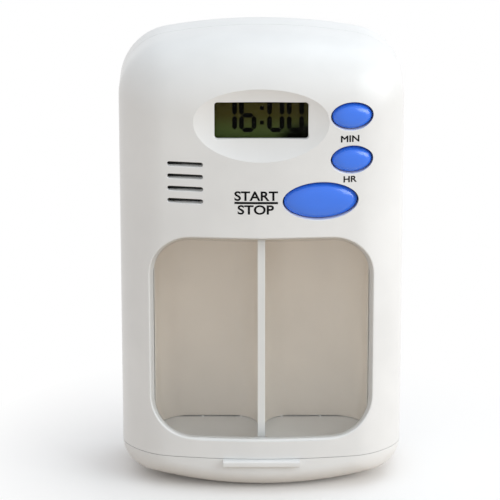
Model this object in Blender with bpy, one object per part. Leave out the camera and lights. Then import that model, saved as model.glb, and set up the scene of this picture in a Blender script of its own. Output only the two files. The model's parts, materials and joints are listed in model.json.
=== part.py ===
"""Electronic pill box: a pocket timer over two pill compartments.

The box stands on its bottom lid, faces -Y and has its origin under the middle of its
bounding box, on the surface that it stands on. Lengths are in metres, +Z is up.
"""
import math

import bmesh
import bpy
from mathutils import Vector

MM = 0.001

# Outer body
BODY_WIDTH = 55.0 * MM
BODY_HEIGHT = 91.0 * MM
BODY_DEPTH = 26.0 * MM
WALL = 1.6 * MM
FRONT_RADIUS = 94.0 * MM
TOP_ARC_RADIUS = 105.0 * MM
BOTTOM_ARC_RADIUS = 100.0 * MM
TOP_CORNER_RADIUS = 11.0 * MM
TOP_CORNER_INNER_RADIUS = 2.0 * MM
BOTTOM_CORNER_RADIUS = 6.0 * MM
BOTTOM_CORNER_INNER_RADIUS = 1.5 * MM
FRONT_EDGE_SIDE = 9.0 * MM
FRONT_EDGE_TOP = 12.0 * MM
FRONT_EDGE_BOTTOM = 5.5 * MM
FRONT_EDGE_DEPTH = 11.5 * MM
BACK_EDGE_RADIUS = 5.0 * MM
FOOT_FLAT_DEPTH = 1.0 * MM
PARTING_FROM_BACK = 9.5 * MM
LEAST_RADIUS = 0.3 * MM

# Clearances
FIT_GAP = 0.3 * MM
CUT_OVERRUN = 2.0 * MM

# Bottom lid
LID_HEIGHT = 7.1 * MM
TAB_WIDTH = 15.0 * MM
TAB_HEIGHT = 1.3 * MM
TAB_PROUD = 1.0 * MM
TAB_DROP = 0.1 * MM
TAB_ROOT = 1.2 * MM
TAB_EDGE = 0.35 * MM
LID_PLATE_THICKNESS = 1.2 * MM
LID_RIB_THICKNESS = 1.0 * MM
LID_RIB_OFFSET = 9.0 * MM
CATCH_WIDTH = 4.0 * MM
CATCH_OFFSET = 7.5 * MM
CATCH_THICKNESS = 1.0 * MM
CATCH_HEIGHT = 2.4 * MM
CATCH_GAP = 0.95 * MM
CATCH_ROOT_DROP = 0.2 * MM

# Lid hinge
HINGE_FROM_SIDE = 10.5 * MM
KNUCKLE_RADIUS = 1.4 * MM
KNUCKLE_SINK = 0.1 * MM
REAR_ROUND_PROUD = 0.15 * MM
PIN_RADIUS = 0.55 * MM
KNUCKLE_EDGE_SHARES = (-0.5, -0.35, -0.12, 0.12, 0.35, 0.5)

# Window and pill chamber
WINDOW_FROM_SIDE = 5.7 * MM
WINDOW_BOTTOM = 11.6 * MM
WINDOW_FROM_TOP = 37.8 * MM
WINDOW_CORNER_RADIUS = 8.2 * MM
WINDOW_EDGE_RADIUS = 0.5 * MM
PANE_THICKNESS = 1.2 * MM
PANE_MARGIN = 1.4 * MM
PANE_PLUG_DEPTH = 0.9 * MM
CHAMBER_BEYOND_WINDOW = 0.4 * MM
CHAMBER_WALL = 1.2 * MM
CHAMBER_HEADROOM = 0.6 * MM
DIVIDER_THICKNESS = 1.45 * MM
CELL_OUTER_RADIUS = 6.5 * MM
CELL_DIVIDER_RADIUS = 5.0 * MM

# Display
DISH_FROM_SIDE = 14.6 * MM
DISH_HALF_HEIGHT = 7.3 * MM
DISH_FROM_TOP = 15.4 * MM
DISH_DEPTH = 1.5 * MM
DISH_RING_SHARES = (0.3, 0.55, 0.75, 0.92, 1.08)
DISPLAY_WALL = 1.6 * MM
DISPLAY_PAD_MARGIN = 1.2 * MM
DISPLAY_FROM_SIDE = 18.55 * MM
DISPLAY_WINDOW_HEIGHT = 6.9 * MM
DISPLAY_WINDOW_CORNER = 0.6 * MM
DISPLAY_FROM_TOP = 14.95 * MM
LENS_MARGIN = 0.7 * MM
LENS_THICKNESS = 0.7 * MM
LCD_SIDE_MARGIN = 1.05 * MM
LCD_UPPER_MARGIN = 1.35 * MM
LCD_THICKNESS = 2.2 * MM
LCD_STANDOFF = 0.5 * MM
LCD_HOLDER_WALL = 1.0 * MM
CONTACT_STRIP_DEPTH = 2.0 * MM
CONTACT_STRIP_HEIGHT = 1.6 * MM

# Keys
KEY_COLUMN_FROM_SIDE = 10.2 * MM
MIN_KEY_FROM_TOP = 13.8 * MM
HOUR_KEY_FROM_TOP = 22.4 * MM
START_KEY_FROM_SIDE = 16.15 * MM
START_KEY_FROM_TOP = 30.5 * MM
SMALL_KEY_HALF_WIDTH = 4.05 * MM
SMALL_KEY_HALF_HEIGHT = 2.7 * MM
START_KEY_HALF_WIDTH = 7.3 * MM
START_KEY_HALF_HEIGHT = 3.7 * MM
KEY_HOLE_EDGE = 0.25 * MM
KEY_RECESS = 0.55 * MM
KEY_CROWN = 0.75 * MM
KEY_EDGE_DROP = 0.35 * MM
KEY_COLLAR_WALL = 0.9 * MM
KEY_COLLAR_DEPTH = 5.0 * MM
KEY_FLANGE_WIDTH = 0.6 * MM
KEY_FLANGE_THICKNESS = 0.6 * MM
KEY_STEM_RADIUS = 1.3 * MM
KEY_TRAVEL = 0.7 * MM
CONTACT_PAD_RADIUS = 1.4 * MM
CONTACT_PAD_THICKNESS = 0.6 * MM
KEYPAD_MAT_THICKNESS = 0.6 * MM
KEYPAD_MAT_MARGIN = 0.6 * MM
KEYPAD_HOLE_CLEARANCE = 0.4 * MM
KEY_DOME_SHARES = (0.3, 0.6, 0.85)

# Speaker and buzzer
SLOT_LENGTH = 6.9 * MM
SLOT_HEIGHT = 1.1 * MM
SLOT_PITCH = 2.43 * MM
SLOT_COUNT = 4
SPEAKER_FROM_SIDE = 12.9 * MM
SPEAKER_FROM_TOP = 26.95 * MM
BUZZER_RADIUS = 5.6 * MM
BUZZER_THICKNESS = 0.4 * MM
BUZZER_LEDGE = 0.25 * MM
BUZZER_COLLAR_WALL = 0.8 * MM
BUZZER_SEAT_DEPTH = 4.6 * MM
BUZZER_COLLAR_DEPTH = 5.6 * MM
CERAMIC_RADIUS = 3.6 * MM
CERAMIC_THICKNESS = 0.3 * MM
BUZZER_SPRING_RADIUS = 0.7 * MM
BUZZER_WIRE_RADIUS = 0.15 * MM
BUZZER_SPRING_TURNS = 2.5
BUZZER_SPRING_REACH = 4.5 * MM

# Circuit board
BOARD_FROM_SIDE = 8.0 * MM
BOARD_FROM_TOP = 5.2 * MM
BOARD_HEIGHT = 28.7 * MM
BOARD_THICKNESS = 1.6 * MM
BOARD_CORNER_RADIUS = 1.5 * MM
CHIP_RADIUS = 4.0 * MM
CHIP_HEIGHT = 1.2 * MM
CHIP_OFFSET = -9.0 * MM
CHIP_FROM_TOP = 13.5 * MM
CRYSTAL_RADIUS = 1.0 * MM
CRYSTAL_LENGTH = 6.0 * MM
CRYSTAL_OFFSET = 9.5 * MM
CRYSTAL_FROM_TOP = 10.5 * MM
BOARD_POST_RADIUS = 1.8 * MM
BOARD_SCREW_RADIUS = 0.6 * MM
BOARD_SCREW_HEAD_RADIUS = 1.3 * MM
BOARD_SCREW_HEAD_HEIGHT = 0.9 * MM
BOARD_SCREW_LENGTH = 4.6 * MM
LOWER_POST_OFFSET = -0.8 * MM
LOWER_POST_FROM_TOP = 26.5 * MM
UPPER_POST_FROM_SIDE = 14.0 * MM
UPPER_POST_FROM_TOP = 7.0 * MM

# Screws that join the rear cover to the front shell
COVER_BOSS_RADIUS = 2.3 * MM
COVER_SLEEVE_RADIUS = 3.0 * MM
COVER_SCREW_RADIUS = 1.0 * MM
COVER_SCREW_HEAD_RADIUS = 1.75 * MM
COVER_SCREW_HEAD_HEIGHT = 1.2 * MM
COVER_SCREW_LENGTH = 10.5 * MM
COVER_SCREW_SEAT = 5.0 * MM
UPPER_SCREW_FROM_SIDE = 7.1 * MM
UPPER_SCREW_FROM_TOP = 7.7 * MM
LOWER_SCREW_FROM_SIDE = 5.3 * MM
LOWER_SCREW_FROM_TOP = 32.0 * MM
DRIVE_WIDTH = 0.5 * MM
DRIVE_DEPTH_SHARE = 0.6
DRIVE_LENGTH_SHARE = 1.2
COVER_LIP_THICKNESS = 0.7 * MM
COVER_LIP_REACH = 1.2 * MM

# Button cell, its well and its cap
CELL_RADIUS = 5.8 * MM
CELL_THICKNESS = 5.4 * MM
CELL_CHAMFER = 0.5 * MM
CELL_FROM_TOP = 20.5 * MM
CAP_RADIUS = 8.0 * MM
CAP_RIM_THICKNESS = 1.3 * MM
CAP_HUB_RADIUS = 6.9 * MM
CAP_HUB_THICKNESS = 1.4 * MM
CAP_LUG_REACH = 1.0 * MM
CAP_LUG_THICKNESS = 0.8 * MM
CAP_LUG_ANGLE = 34.0
CAP_NOTCH_ANGLE = 44.0
CAP_TURN_ANGLE = 60.0
COIN_SLOT_LENGTH = 10.0 * MM
COIN_SLOT_WIDTH = 1.6 * MM
COIN_SLOT_DEPTH = 0.8 * MM
WELL_WALL = 1.4 * MM
WELL_FLOOR = 1.0 * MM
CONTACT_THICKNESS = 0.3 * MM
CONTACT_DISC_RADIUS = 3.0 * MM
CONTACT_LEG_WIDTH = 1.6 * MM
CONTACT_STRIP_WIDTH = 3.0 * MM
CONTACT_LEG_OFFSET = 2.0 * MM

# Facet counts
CORNER_STEPS = 6
ARC_STEPS = 3
FRONT_EDGE_STEPS = 6
BACK_EDGE_STEPS = 3
FACE_COLUMNS = 8
INNER_CORNER_STEPS = 4
INNER_ARC_STEPS = 2
INNER_FRONT_EDGE_STEPS = 4
INNER_BACK_EDGE_STEPS = 2
ROUND_STEPS = 28
SMALL_ROUND_STEPS = 12
WIRE_STEPS = 8
WIRE_SIDES_RESOLUTION = 1
FILLET_STEPS = 3

# Places worked out from the sizes above
HALF_WIDTH = BODY_WIDTH / 2
HINGE_WIDTH = BODY_WIDTH - 2 * HINGE_FROM_SIDE
WINDOW_WIDTH = BODY_WIDTH - 2 * WINDOW_FROM_SIDE
WINDOW_TOP = BODY_HEIGHT - WINDOW_FROM_TOP
CHAMBER_WIDTH = WINDOW_WIDTH + 2 * CHAMBER_BEYOND_WINDOW
DISH_HALF_WIDTH = HALF_WIDTH - DISH_FROM_SIDE
DISH_CENTRE_HEIGHT = BODY_HEIGHT - DISH_FROM_TOP
DISPLAY_WINDOW_WIDTH = BODY_WIDTH - 2 * DISPLAY_FROM_SIDE
DISPLAY_CENTRE_HEIGHT = BODY_HEIGHT - DISPLAY_FROM_TOP
LCD_WIDTH = DISPLAY_WINDOW_WIDTH + 2 * LCD_SIDE_MARGIN
LCD_HEIGHT = DISPLAY_WINDOW_HEIGHT + 2 * LCD_UPPER_MARGIN
KEY_COLUMN_OFFSET = HALF_WIDTH - KEY_COLUMN_FROM_SIDE
MIN_KEY_HEIGHT = BODY_HEIGHT - MIN_KEY_FROM_TOP
HOUR_KEY_HEIGHT = BODY_HEIGHT - HOUR_KEY_FROM_TOP
START_KEY_OFFSET = HALF_WIDTH - START_KEY_FROM_SIDE
START_KEY_HEIGHT = BODY_HEIGHT - START_KEY_FROM_TOP
SPEAKER_OFFSET = SPEAKER_FROM_SIDE - HALF_WIDTH
SPEAKER_HEIGHT = BODY_HEIGHT - SPEAKER_FROM_TOP
BOARD_WIDTH = BODY_WIDTH - 2 * BOARD_FROM_SIDE
BOARD_TOP = BODY_HEIGHT - BOARD_FROM_TOP
BOARD_BOTTOM = BOARD_TOP - BOARD_HEIGHT
CHIP_LEVEL = BODY_HEIGHT - CHIP_FROM_TOP
CRYSTAL_LEVEL = BODY_HEIGHT - CRYSTAL_FROM_TOP
LOWER_POST_HEIGHT = BODY_HEIGHT - LOWER_POST_FROM_TOP
UPPER_POST_OFFSET = HALF_WIDTH - UPPER_POST_FROM_SIDE
UPPER_POST_HEIGHT = BODY_HEIGHT - UPPER_POST_FROM_TOP
UPPER_SCREW_OFFSET = HALF_WIDTH - UPPER_SCREW_FROM_SIDE
UPPER_SCREW_HEIGHT = BODY_HEIGHT - UPPER_SCREW_FROM_TOP
LOWER_SCREW_OFFSET = HALF_WIDTH - LOWER_SCREW_FROM_SIDE
LOWER_SCREW_HEIGHT = BODY_HEIGHT - LOWER_SCREW_FROM_TOP
CELL_CENTRE_HEIGHT = BODY_HEIGHT - CELL_FROM_TOP
BACK_Y = (BODY_DEPTH + TAB_PROUD) / 2
FRONT_Y = BACK_Y - BODY_DEPTH
EDGE_Y = FRONT_Y + FRONT_EDGE_DEPTH
PARTING_Y = BACK_Y - PARTING_FROM_BACK
COVER_FRONT_Y = PARTING_Y + FIT_GAP / 2
SHELL_BACK_Y = PARTING_Y - FIT_GAP / 2
SHELL_BOTTOM = LID_HEIGHT + FIT_GAP
PAD_BACK_Y = FRONT_Y + DISH_DEPTH + DISPLAY_WALL
LCD_FRONT_Y = PAD_BACK_Y + LCD_STANDOFF
LCD_BACK_Y = LCD_FRONT_Y + LCD_THICKNESS
BOARD_FRONT_Y = LCD_BACK_Y + CONTACT_STRIP_DEPTH + 2 * FIT_GAP
BOARD_BACK_Y = BOARD_FRONT_Y + BOARD_THICKNESS
COLLAR_BACK_Y = FRONT_Y + KEY_COLLAR_DEPTH
BUZZER_SEAT_Y = FRONT_Y + BUZZER_SEAT_DEPTH
BUZZER_BACK_Y = BUZZER_SEAT_Y + FIT_GAP + BUZZER_THICKNESS
INNER_BACK_Y = BACK_Y - WALL
PANE_FRONT = WALL + FIT_GAP
PANE_BACK = PANE_FRONT + PANE_THICKNESS
CHAMBER_FRONT = PANE_BACK + FIT_GAP
CHAMBER_BACK_Y = INNER_BACK_Y - FIT_GAP
CHAMBER_CEILING = WINDOW_TOP + CHAMBER_HEADROOM
HINGE_Y = BACK_Y - KNUCKLE_RADIUS - KNUCKLE_SINK
HINGE_Z = LID_HEIGHT - KNUCKLE_RADIUS
PIN_BORE_RADIUS = PIN_RADIUS + FIT_GAP
CAP_BACK_Y = BACK_Y
CAP_HUB_Y = CAP_BACK_Y - CAP_RIM_THICKNESS
CAP_FRONT_Y = CAP_HUB_Y - CAP_HUB_THICKNESS
WELL_LEDGE_Y = CAP_FRONT_Y - FIT_GAP
CELL_BACK_Y = CAP_FRONT_Y - FIT_GAP
CELL_FRONT_Y = CELL_BACK_Y - CELL_THICKNESS
CONTACT_BACK_Y = CELL_FRONT_Y - FIT_GAP
CONTACT_FRONT_Y = CONTACT_BACK_Y - CONTACT_THICKNESS
WELL_FLOOR_Y = CONTACT_FRONT_Y - FIT_GAP
WELL_FRONT_Y = WELL_FLOOR_Y - WELL_FLOOR
WELL_RADIUS = CELL_RADIUS + FIT_GAP
LUG_RADIUS = CAP_RADIUS + CAP_LUG_REACH
GROOVE_RADIUS = LUG_RADIUS + FIT_GAP
WELL_OUTER_RADIUS = GROOVE_RADIUS + WELL_WALL

KEYS = (
    ("min", KEY_COLUMN_OFFSET, MIN_KEY_HEIGHT, SMALL_KEY_HALF_WIDTH, SMALL_KEY_HALF_HEIGHT),
    ("hour", KEY_COLUMN_OFFSET, HOUR_KEY_HEIGHT, SMALL_KEY_HALF_WIDTH, SMALL_KEY_HALF_HEIGHT),
    ("start_stop", START_KEY_OFFSET, START_KEY_HEIGHT, START_KEY_HALF_WIDTH, START_KEY_HALF_HEIGHT),
)
BOARD_POSTS = (
    ("lower", LOWER_POST_OFFSET, LOWER_POST_HEIGHT),
    ("upper_left", -UPPER_POST_OFFSET, UPPER_POST_HEIGHT),
    ("upper_right", UPPER_POST_OFFSET, UPPER_POST_HEIGHT),
)
COVER_SCREWS = (
    ("upper_left", -UPPER_SCREW_OFFSET, UPPER_SCREW_HEIGHT),
    ("upper_right", UPPER_SCREW_OFFSET, UPPER_SCREW_HEIGHT),
    ("lower_left", -LOWER_SCREW_OFFSET, LOWER_SCREW_HEIGHT),
    ("lower_right", LOWER_SCREW_OFFSET, LOWER_SCREW_HEIGHT),
)


def clear_scene():
    for thing in list(bpy.data.objects):
        bpy.data.objects.remove(thing, do_unlink=True)


def finish(name, colour, roughness, metallic=0.0, alpha=1.0):
    """A material of one plain finish."""
    material = bpy.data.materials.new(name)
    material.use_nodes = True
    shader = material.node_tree.nodes["Principled BSDF"]
    shader.inputs["Base Color"].default_value = (*colour, 1.0)
    shader.inputs["Roughness"].default_value = roughness
    shader.inputs["Metallic"].default_value = metallic
    shader.inputs["Alpha"].default_value = alpha
    return material


def add_object(name, mesh_builder, material=None):
    """Turn a bmesh into an object of the scene."""
    bmesh.ops.recalc_face_normals(mesh_builder, faces=mesh_builder.faces)
    mesh = bpy.data.meshes.new(name)
    mesh_builder.to_mesh(mesh)
    mesh_builder.free()
    thing = bpy.data.objects.new(name, mesh)
    bpy.context.collection.objects.link(thing)
    if material is not None:
        mesh.materials.append(material)
    return thing


def smooth(thing):
    """Shade the round faces of an object smooth and keep its corners sharp."""
    thing.data.shade_smooth()
    thing.data.set_sharp_from_angle(angle=math.radians(35))
    return thing


def combine(target, tools, operation):
    """One Boolean step against all its tools, which the finished model leaves out."""
    group = bpy.data.collections.new("%s_step_%d" % (target.name, len(target.modifiers)))
    for tool in tools:
        tool.hide_render = True
        tool.display_type = "WIRE"
        group.objects.link(tool)
    step = target.modifiers.new(group.name, "BOOLEAN")
    step.operation = operation
    step.solver = "EXACT"
    step.operand_type = "COLLECTION"
    step.collection = group
    return target


def cut(target, *tools):
    return combine(target, tools, "DIFFERENCE")


def join(target, *tools):
    return combine(target, tools, "UNION")


def keep_inside(target, tool):
    return combine(target, (tool,), "INTERSECT")


def set_origin(thing, place):
    """Put an object's origin at a place and leave its mesh where it is."""
    place = Vector(place)
    for vertex in thing.data.vertices:
        vertex.co -= place
    thing.location = place
    return thing


def hang_on(parent_name, place, things):
    """Parent pieces that move together to an empty on their joint's axis."""
    holder = bpy.data.objects.new(parent_name, None)
    bpy.context.collection.objects.link(holder)
    holder.location = place
    for thing in things:
        set_origin(thing, place)
        thing.parent = holder
        thing.location = (0, 0, 0)
    return holder


def bridge(builder, first, second):
    """Join two closed rings of as many vertices with four-sided faces."""
    count = len(first)
    for k in range(count):
        following = (k + 1) % count
        builder.faces.new((first[k], first[following], second[following], second[k]))


def extrusion(name, outlines, start, end, axis="Y", material=None):
    """Closed outlines of two coordinates, extruded along an axis as one object."""
    builder = bmesh.new()
    for outline in outlines:
        rings = []
        for along in (start, end):
            if axis == "Y":
                points = [(a, along, b) for a, b in outline]
            elif axis == "Z":
                points = [(a, b, along) for a, b in outline]
            else:
                points = [(along, a, b) for a, b in outline]
            rings.append([builder.verts.new(point) for point in points])
        bridge(builder, rings[0], rings[1])
        builder.faces.new(rings[0])
        builder.faces.new(rings[1])
    return add_object(name, builder, material)


def turned(name, centre, profile, steps=ROUND_STEPS, material=None):
    """A solid of circles about an axis along Y; the profile holds (radius, y) pairs."""
    rings = [(radius, radius, lambda x, z, level=y: level) for radius, y in profile]
    return oval_solid(name, centre, rings, steps, material)


def oval_solid(name, centre, rings, steps=ROUND_STEPS, material=None):
    """A solid of ovals stacked along Y; each ring has half axes and a depth function."""
    builder = bmesh.new()
    loops = []
    for half_width, half_height, depth in rings:
        loop = []
        for k in range(steps):
            angle = 2 * math.pi * k / steps
            x = centre[0] + half_width * math.cos(angle)
            z = centre[1] + half_height * math.sin(angle)
            loop.append(builder.verts.new((x, depth(x, z), z)))
        loops.append(loop)
    for first, second in zip(loops, loops[1:]):
        bridge(builder, first, second)
    for loop, ring in ((loops[0], rings[0]), (loops[-1], rings[-1])):
        middle = builder.verts.new((centre[0], ring[2](*centre), centre[1]))
        for k in range(steps):
            builder.faces.new((loop[k], loop[(k + 1) % steps], middle))
    return add_object(name, builder, material)


def block(name, low, high, material=None):
    outline = [(low[0], low[2]), (high[0], low[2]), (high[0], high[2]), (low[0], high[2])]
    return extrusion(name, [outline], low[1], high[1], "Y", material)


def circle(centre, radius, steps=ROUND_STEPS, start=0.0):
    points = []
    for k in range(steps):
        angle = start + 2 * math.pi * k / steps
        points.append((centre[0] + radius * math.cos(angle), centre[1] + radius * math.sin(angle)))
    return points


def oval(centre, half_width, half_height, steps=ROUND_STEPS):
    return [(centre[0] + half_width * x, centre[1] + half_height * z) for x, z in circle((0, 0), 1, steps)]


def rounded_box_outline(low, high, radii, steps=CORNER_STEPS):
    """A rectangle with a radius of its own at each corner, from low-low round to low-high."""
    corners = ((low[0], low[1], 180), (high[0], low[1], 270), (high[0], high[1], 0), (low[0], high[1], 90))
    points = []
    for (x, y, start), radius in zip(corners, radii):
        centre_x = x + radius if x == low[0] else x - radius
        centre_y = y + radius if y == low[1] else y - radius
        for k in range(steps + 1):
            angle = math.radians(start + 90 * k / steps)
            points.append((centre_x + radius * math.cos(angle), centre_y + radius * math.sin(angle)))
    return points


class BodyForm:
    """The rounded outer body, or one set inward from it by a wall."""

    def __init__(self, inset=0.0):
        self.half_width = BODY_WIDTH / 2 - inset
        self.top = BODY_HEIGHT - inset
        self.bottom = inset - FOOT_FLAT_DEPTH
        self.front = FRONT_Y + inset
        self.back = BACK_Y - inset
        self.front_radius = FRONT_RADIUS - inset
        self.top_arc = TOP_ARC_RADIUS - inset
        self.bottom_arc = BOTTOM_ARC_RADIUS - inset
        self.top_corners = (TOP_CORNER_RADIUS - inset, max(TOP_CORNER_INNER_RADIUS, LEAST_RADIUS))
        self.bottom_corners = (BOTTOM_CORNER_RADIUS - inset, max(BOTTOM_CORNER_INNER_RADIUS, LEAST_RADIUS))
        self.edge_side = FRONT_EDGE_SIDE - inset
        self.edge_top = FRONT_EDGE_TOP - inset
        self.edge_bottom = FRONT_EDGE_BOTTOM - inset
        self.back_radius = BACK_EDGE_RADIUS - inset
        self.corner_steps = INNER_CORNER_STEPS if inset else CORNER_STEPS
        self.arc_steps = INNER_ARC_STEPS if inset else ARC_STEPS
        self.front_edge_steps = INNER_FRONT_EDGE_STEPS if inset else FRONT_EDGE_STEPS
        self.back_edge_steps = INNER_BACK_EDGE_STEPS if inset else BACK_EDGE_STEPS

    def face_y(self, x):
        """The front face bows forward in the middle."""
        return self.front + x * x / (2 * self.front_radius)

    def ring(self, side, top, bottom, inward):
        """Right half of an outline, from its top to its bottom, set in by three lengths."""
        half_width = self.half_width - side
        top_corner = self.top_corners[0] + (self.top_corners[1] - self.top_corners[0]) * inward
        bottom_corner = self.bottom_corners[0] + (self.bottom_corners[1] - self.bottom_corners[0]) * inward
        steps = (self.arc_steps, self.corner_steps)
        upper = half_outline(half_width, self.top - top, top_corner, self.top_arc, -1, steps)
        lower = half_outline(half_width, self.bottom + bottom, bottom_corner, self.bottom_arc, 1, steps)
        return upper + lower[::-1]

    def front_ring(self, inward):
        return self.ring(self.edge_side * inward, self.edge_top * inward, self.edge_bottom * inward, inward)

    def back_ring(self, inward):
        step = self.back_radius * inward
        share = step / (self.half_width - step)
        return self.ring(step, step, step, share)

    def surface_y(self, x, z):
        """Depth of the front surface over a point of the face, its rounded edge included."""
        low, high = 0.0, 1.0
        if inside_outline(x, z, self.front_ring(high)):
            return self.face_y(x)
        for _ in range(30):
            middle = (low + high) / 2
            if inside_outline(x, z, self.front_ring(middle)):
                low = middle
            else:
                high = middle
        rise = math.sin(math.acos(1 - low))
        return EDGE_Y - (EDGE_Y - self.face_y(x)) * rise


def half_outline(half_width, level, corner, arc, direction, steps):
    """Centre line to widest point: a shallow arc that runs into a round corner."""
    centre_x = half_width - corner
    drop = arc - math.sqrt((arc - corner) ** 2 - centre_x ** 2)
    bend = math.asin(centre_x / (arc - corner))
    arc_steps, corner_steps = steps
    points = []
    for k in range(arc_steps):
        angle = bend * k / arc_steps
        points.append((arc * math.sin(angle), level + direction * (arc - arc * math.cos(angle))))
    for k in range(corner_steps + 1):
        angle = bend + (math.pi / 2 - bend) * k / corner_steps
        x = centre_x + corner * math.sin(angle)
        points.append((x, level + direction * (drop - corner * math.cos(angle))))
    return points


def inside_outline(x, z, half):
    """Whether a point lies inside the outline whose right half is given."""
    reach = None
    for (x0, z0), (x1, z1) in zip(half, half[1:]):
        if z1 <= z <= z0 and z0 > z1:
            reach = x0 + (x1 - x0) * (z0 - z) / (z0 - z1)
    return reach is not None and abs(x) <= reach


def mirrored(half):
    """Whole outline from its right half, which starts and ends on the centre line."""
    return half + [(-x, z) for x, z in half[-2:0:-1]]


def bowed_cap(builder, ring, half, depth):
    """Close a ring with rows of faces that follow a bowed surface."""
    count = len(half)
    rows = [[ring[0]]]
    for k in range(1, count - 1):
        right = ring[k]
        left = ring[-k]
        x, z = half[k]
        row = [left]
        for column in range(1, FACE_COLUMNS):
            across = -x + 2 * x * column / FACE_COLUMNS
            row.append(builder.verts.new((across, depth(across), z)))
        row.append(right)
        rows.append(row)
    rows.append([ring[count - 1]])
    for upper, lower in zip(rows, rows[1:]):
        for column in range(FACE_COLUMNS):
            if len(upper) == 1:
                builder.faces.new((upper[0], lower[column], lower[column + 1]))
            elif len(lower) == 1:
                builder.faces.new((upper[column + 1], upper[column], lower[0]))
            else:
                builder.faces.new((upper[column], lower[column], lower[column + 1], upper[column + 1]))


def body_solid(name, inset=0.0, material=None):
    """The closed body: bowed front, wide round front edge and tight round back edge."""
    form = BodyForm(inset)
    builder = bmesh.new()
    loops = []
    for step in range(form.back_edge_steps, -1, -1):
        angle = math.pi / 2 * step / form.back_edge_steps
        inward = 1 - math.cos(angle)
        y = form.back - form.back_radius + form.back_radius * math.sin(angle)
        outline = mirrored(form.back_ring(inward))
        loops.append([builder.verts.new((x, y, z)) for x, z in outline])
    for step in range(form.front_edge_steps + 1):
        angle = math.pi / 2 * step / form.front_edge_steps
        half = form.front_ring(1 - math.cos(angle))
        rise = math.sin(angle)
        loop = []
        for x, z in mirrored(half):
            loop.append(builder.verts.new((x, EDGE_Y - (EDGE_Y - form.face_y(x)) * rise, z)))
        loops.append(loop)
    for first, second in zip(loops, loops[1:]):
        bridge(builder, first, second)
    builder.faces.new(loops[0])
    bowed_cap(builder, loops[-1], half, form.face_y)
    bmesh.ops.triangulate(builder, faces=[face for face in builder.faces if len(face.verts) == 4])
    return add_object(name, builder, material)


def bowed_stack(name, layers, material=None):
    """Symmetric outlines stacked behind the front surface; each layer has a half outline and an offset."""
    form = BodyForm()
    middle = (WINDOW_TOP + WINDOW_BOTTOM) / 2
    builder = bmesh.new()
    loops = []
    for half, offset in layers:
        loop = [builder.verts.new((x, form.surface_y(x, middle) + offset, z)) for x, z in mirrored(half)]
        loops.append(loop)
    for first, second in zip(loops, loops[1:]):
        bridge(builder, first, second)
    for loop, (half, offset) in ((loops[0], layers[0]), (loops[-1], layers[-1])):
        bowed_cap(builder, loop, half, lambda x, shift=offset: form.surface_y(x, middle) + shift)
    bmesh.ops.triangulate(builder, faces=[face for face in builder.faces if len(face.verts) == 4])
    return add_object(name, builder, material)


def window_half(grow):
    """Right half of the window's outline, made larger or smaller all round."""
    half_width = WINDOW_WIDTH / 2 + grow
    radius = WINDOW_CORNER_RADIUS + grow
    top = WINDOW_TOP + grow
    bottom = WINDOW_BOTTOM - grow
    points = [(0, top)]
    for centre_z, start in ((top - radius, 90), (bottom + radius, 0)):
        for k in range(CORNER_STEPS + 1):
            angle = math.radians(start - 90 * k / CORNER_STEPS)
            x = half_width - radius + radius * math.cos(angle)
            points.append((x, centre_z + radius * math.sin(angle)))
    points.append((0, bottom))
    return points


def window_cutter():
    """The window's opening with a rounded outer edge."""
    layers = [(window_half(WINDOW_EDGE_RADIUS), -CUT_OVERRUN)]
    for k in range(FILLET_STEPS + 1):
        angle = math.pi / 2 * k / FILLET_STEPS
        grow = WINDOW_EDGE_RADIUS * (1 - math.sin(angle))
        offset = WINDOW_EDGE_RADIUS * (1 - math.cos(angle))
        layers.append((window_half(grow), offset))
    layers.append((window_half(0), WALL + CUT_OVERRUN))
    return bowed_stack("window_cutter", layers)


def dish_cutter():
    """A shallow oval dish, sunk in the bowed front."""
    form = BodyForm()
    centre = (0, DISH_CENTRE_HEIGHT)
    rings = []
    for share in DISH_RING_SHARES:
        sink = DISH_DEPTH * (1 - share * share)
        rings.append((DISH_HALF_WIDTH * share, DISH_HALF_HEIGHT * share,
                      lambda x, z, depth=sink: form.face_y(x) + depth))
    widest = DISH_RING_SHARES[-1]
    rings.append((DISH_HALF_WIDTH * widest, DISH_HALF_HEIGHT * widest,
                  lambda x, z: FRONT_Y - CUT_OVERRUN))
    return oval_solid("dish_cutter", centre, rings)


def key_plane(centre_x, centre_z):
    """Plane that lies on the body's front surface at a key's centre."""
    form = BodyForm()
    reach = SMALL_KEY_HALF_HEIGHT / 2
    level = form.surface_y(centre_x, centre_z)
    across = form.surface_y(centre_x + reach, centre_z) - form.surface_y(centre_x - reach, centre_z)
    slope = across / (2 * reach)
    return lambda x, z: level + slope * (x - centre_x)


def key_hole_cutter(name, x, z, half_width, half_height):
    """Oval hole with a small outer chamfer, through the front and its collar."""
    plane = key_plane(x, z)
    wide = half_width + FIT_GAP
    high = half_height + FIT_GAP
    rings = (
        (wide + KEY_HOLE_EDGE, high + KEY_HOLE_EDGE, lambda x, z: FRONT_Y - CUT_OVERRUN),
        (wide + KEY_HOLE_EDGE, high + KEY_HOLE_EDGE, plane),
        (wide, high, lambda x, z: plane(x, z) + KEY_HOLE_EDGE),
        (wide, high, lambda x, z: COLLAR_BACK_Y + CUT_OVERRUN),
    )
    return oval_solid(name + "_hole_cutter", (x, z), rings)


def slot_outlines():
    """The speaker's slots, one above the other."""
    outlines = []
    for k in range(SLOT_COUNT):
        level = SPEAKER_HEIGHT + (k - (SLOT_COUNT - 1) / 2) * SLOT_PITCH
        low = (SPEAKER_OFFSET - SLOT_LENGTH / 2, level - SLOT_HEIGHT / 2)
        high = (SPEAKER_OFFSET + SLOT_LENGTH / 2, level + SLOT_HEIGHT / 2)
        outlines.append(rounded_box_outline(low, high, [SLOT_HEIGHT / 2] * 4, FILLET_STEPS))
    return outlines


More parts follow.
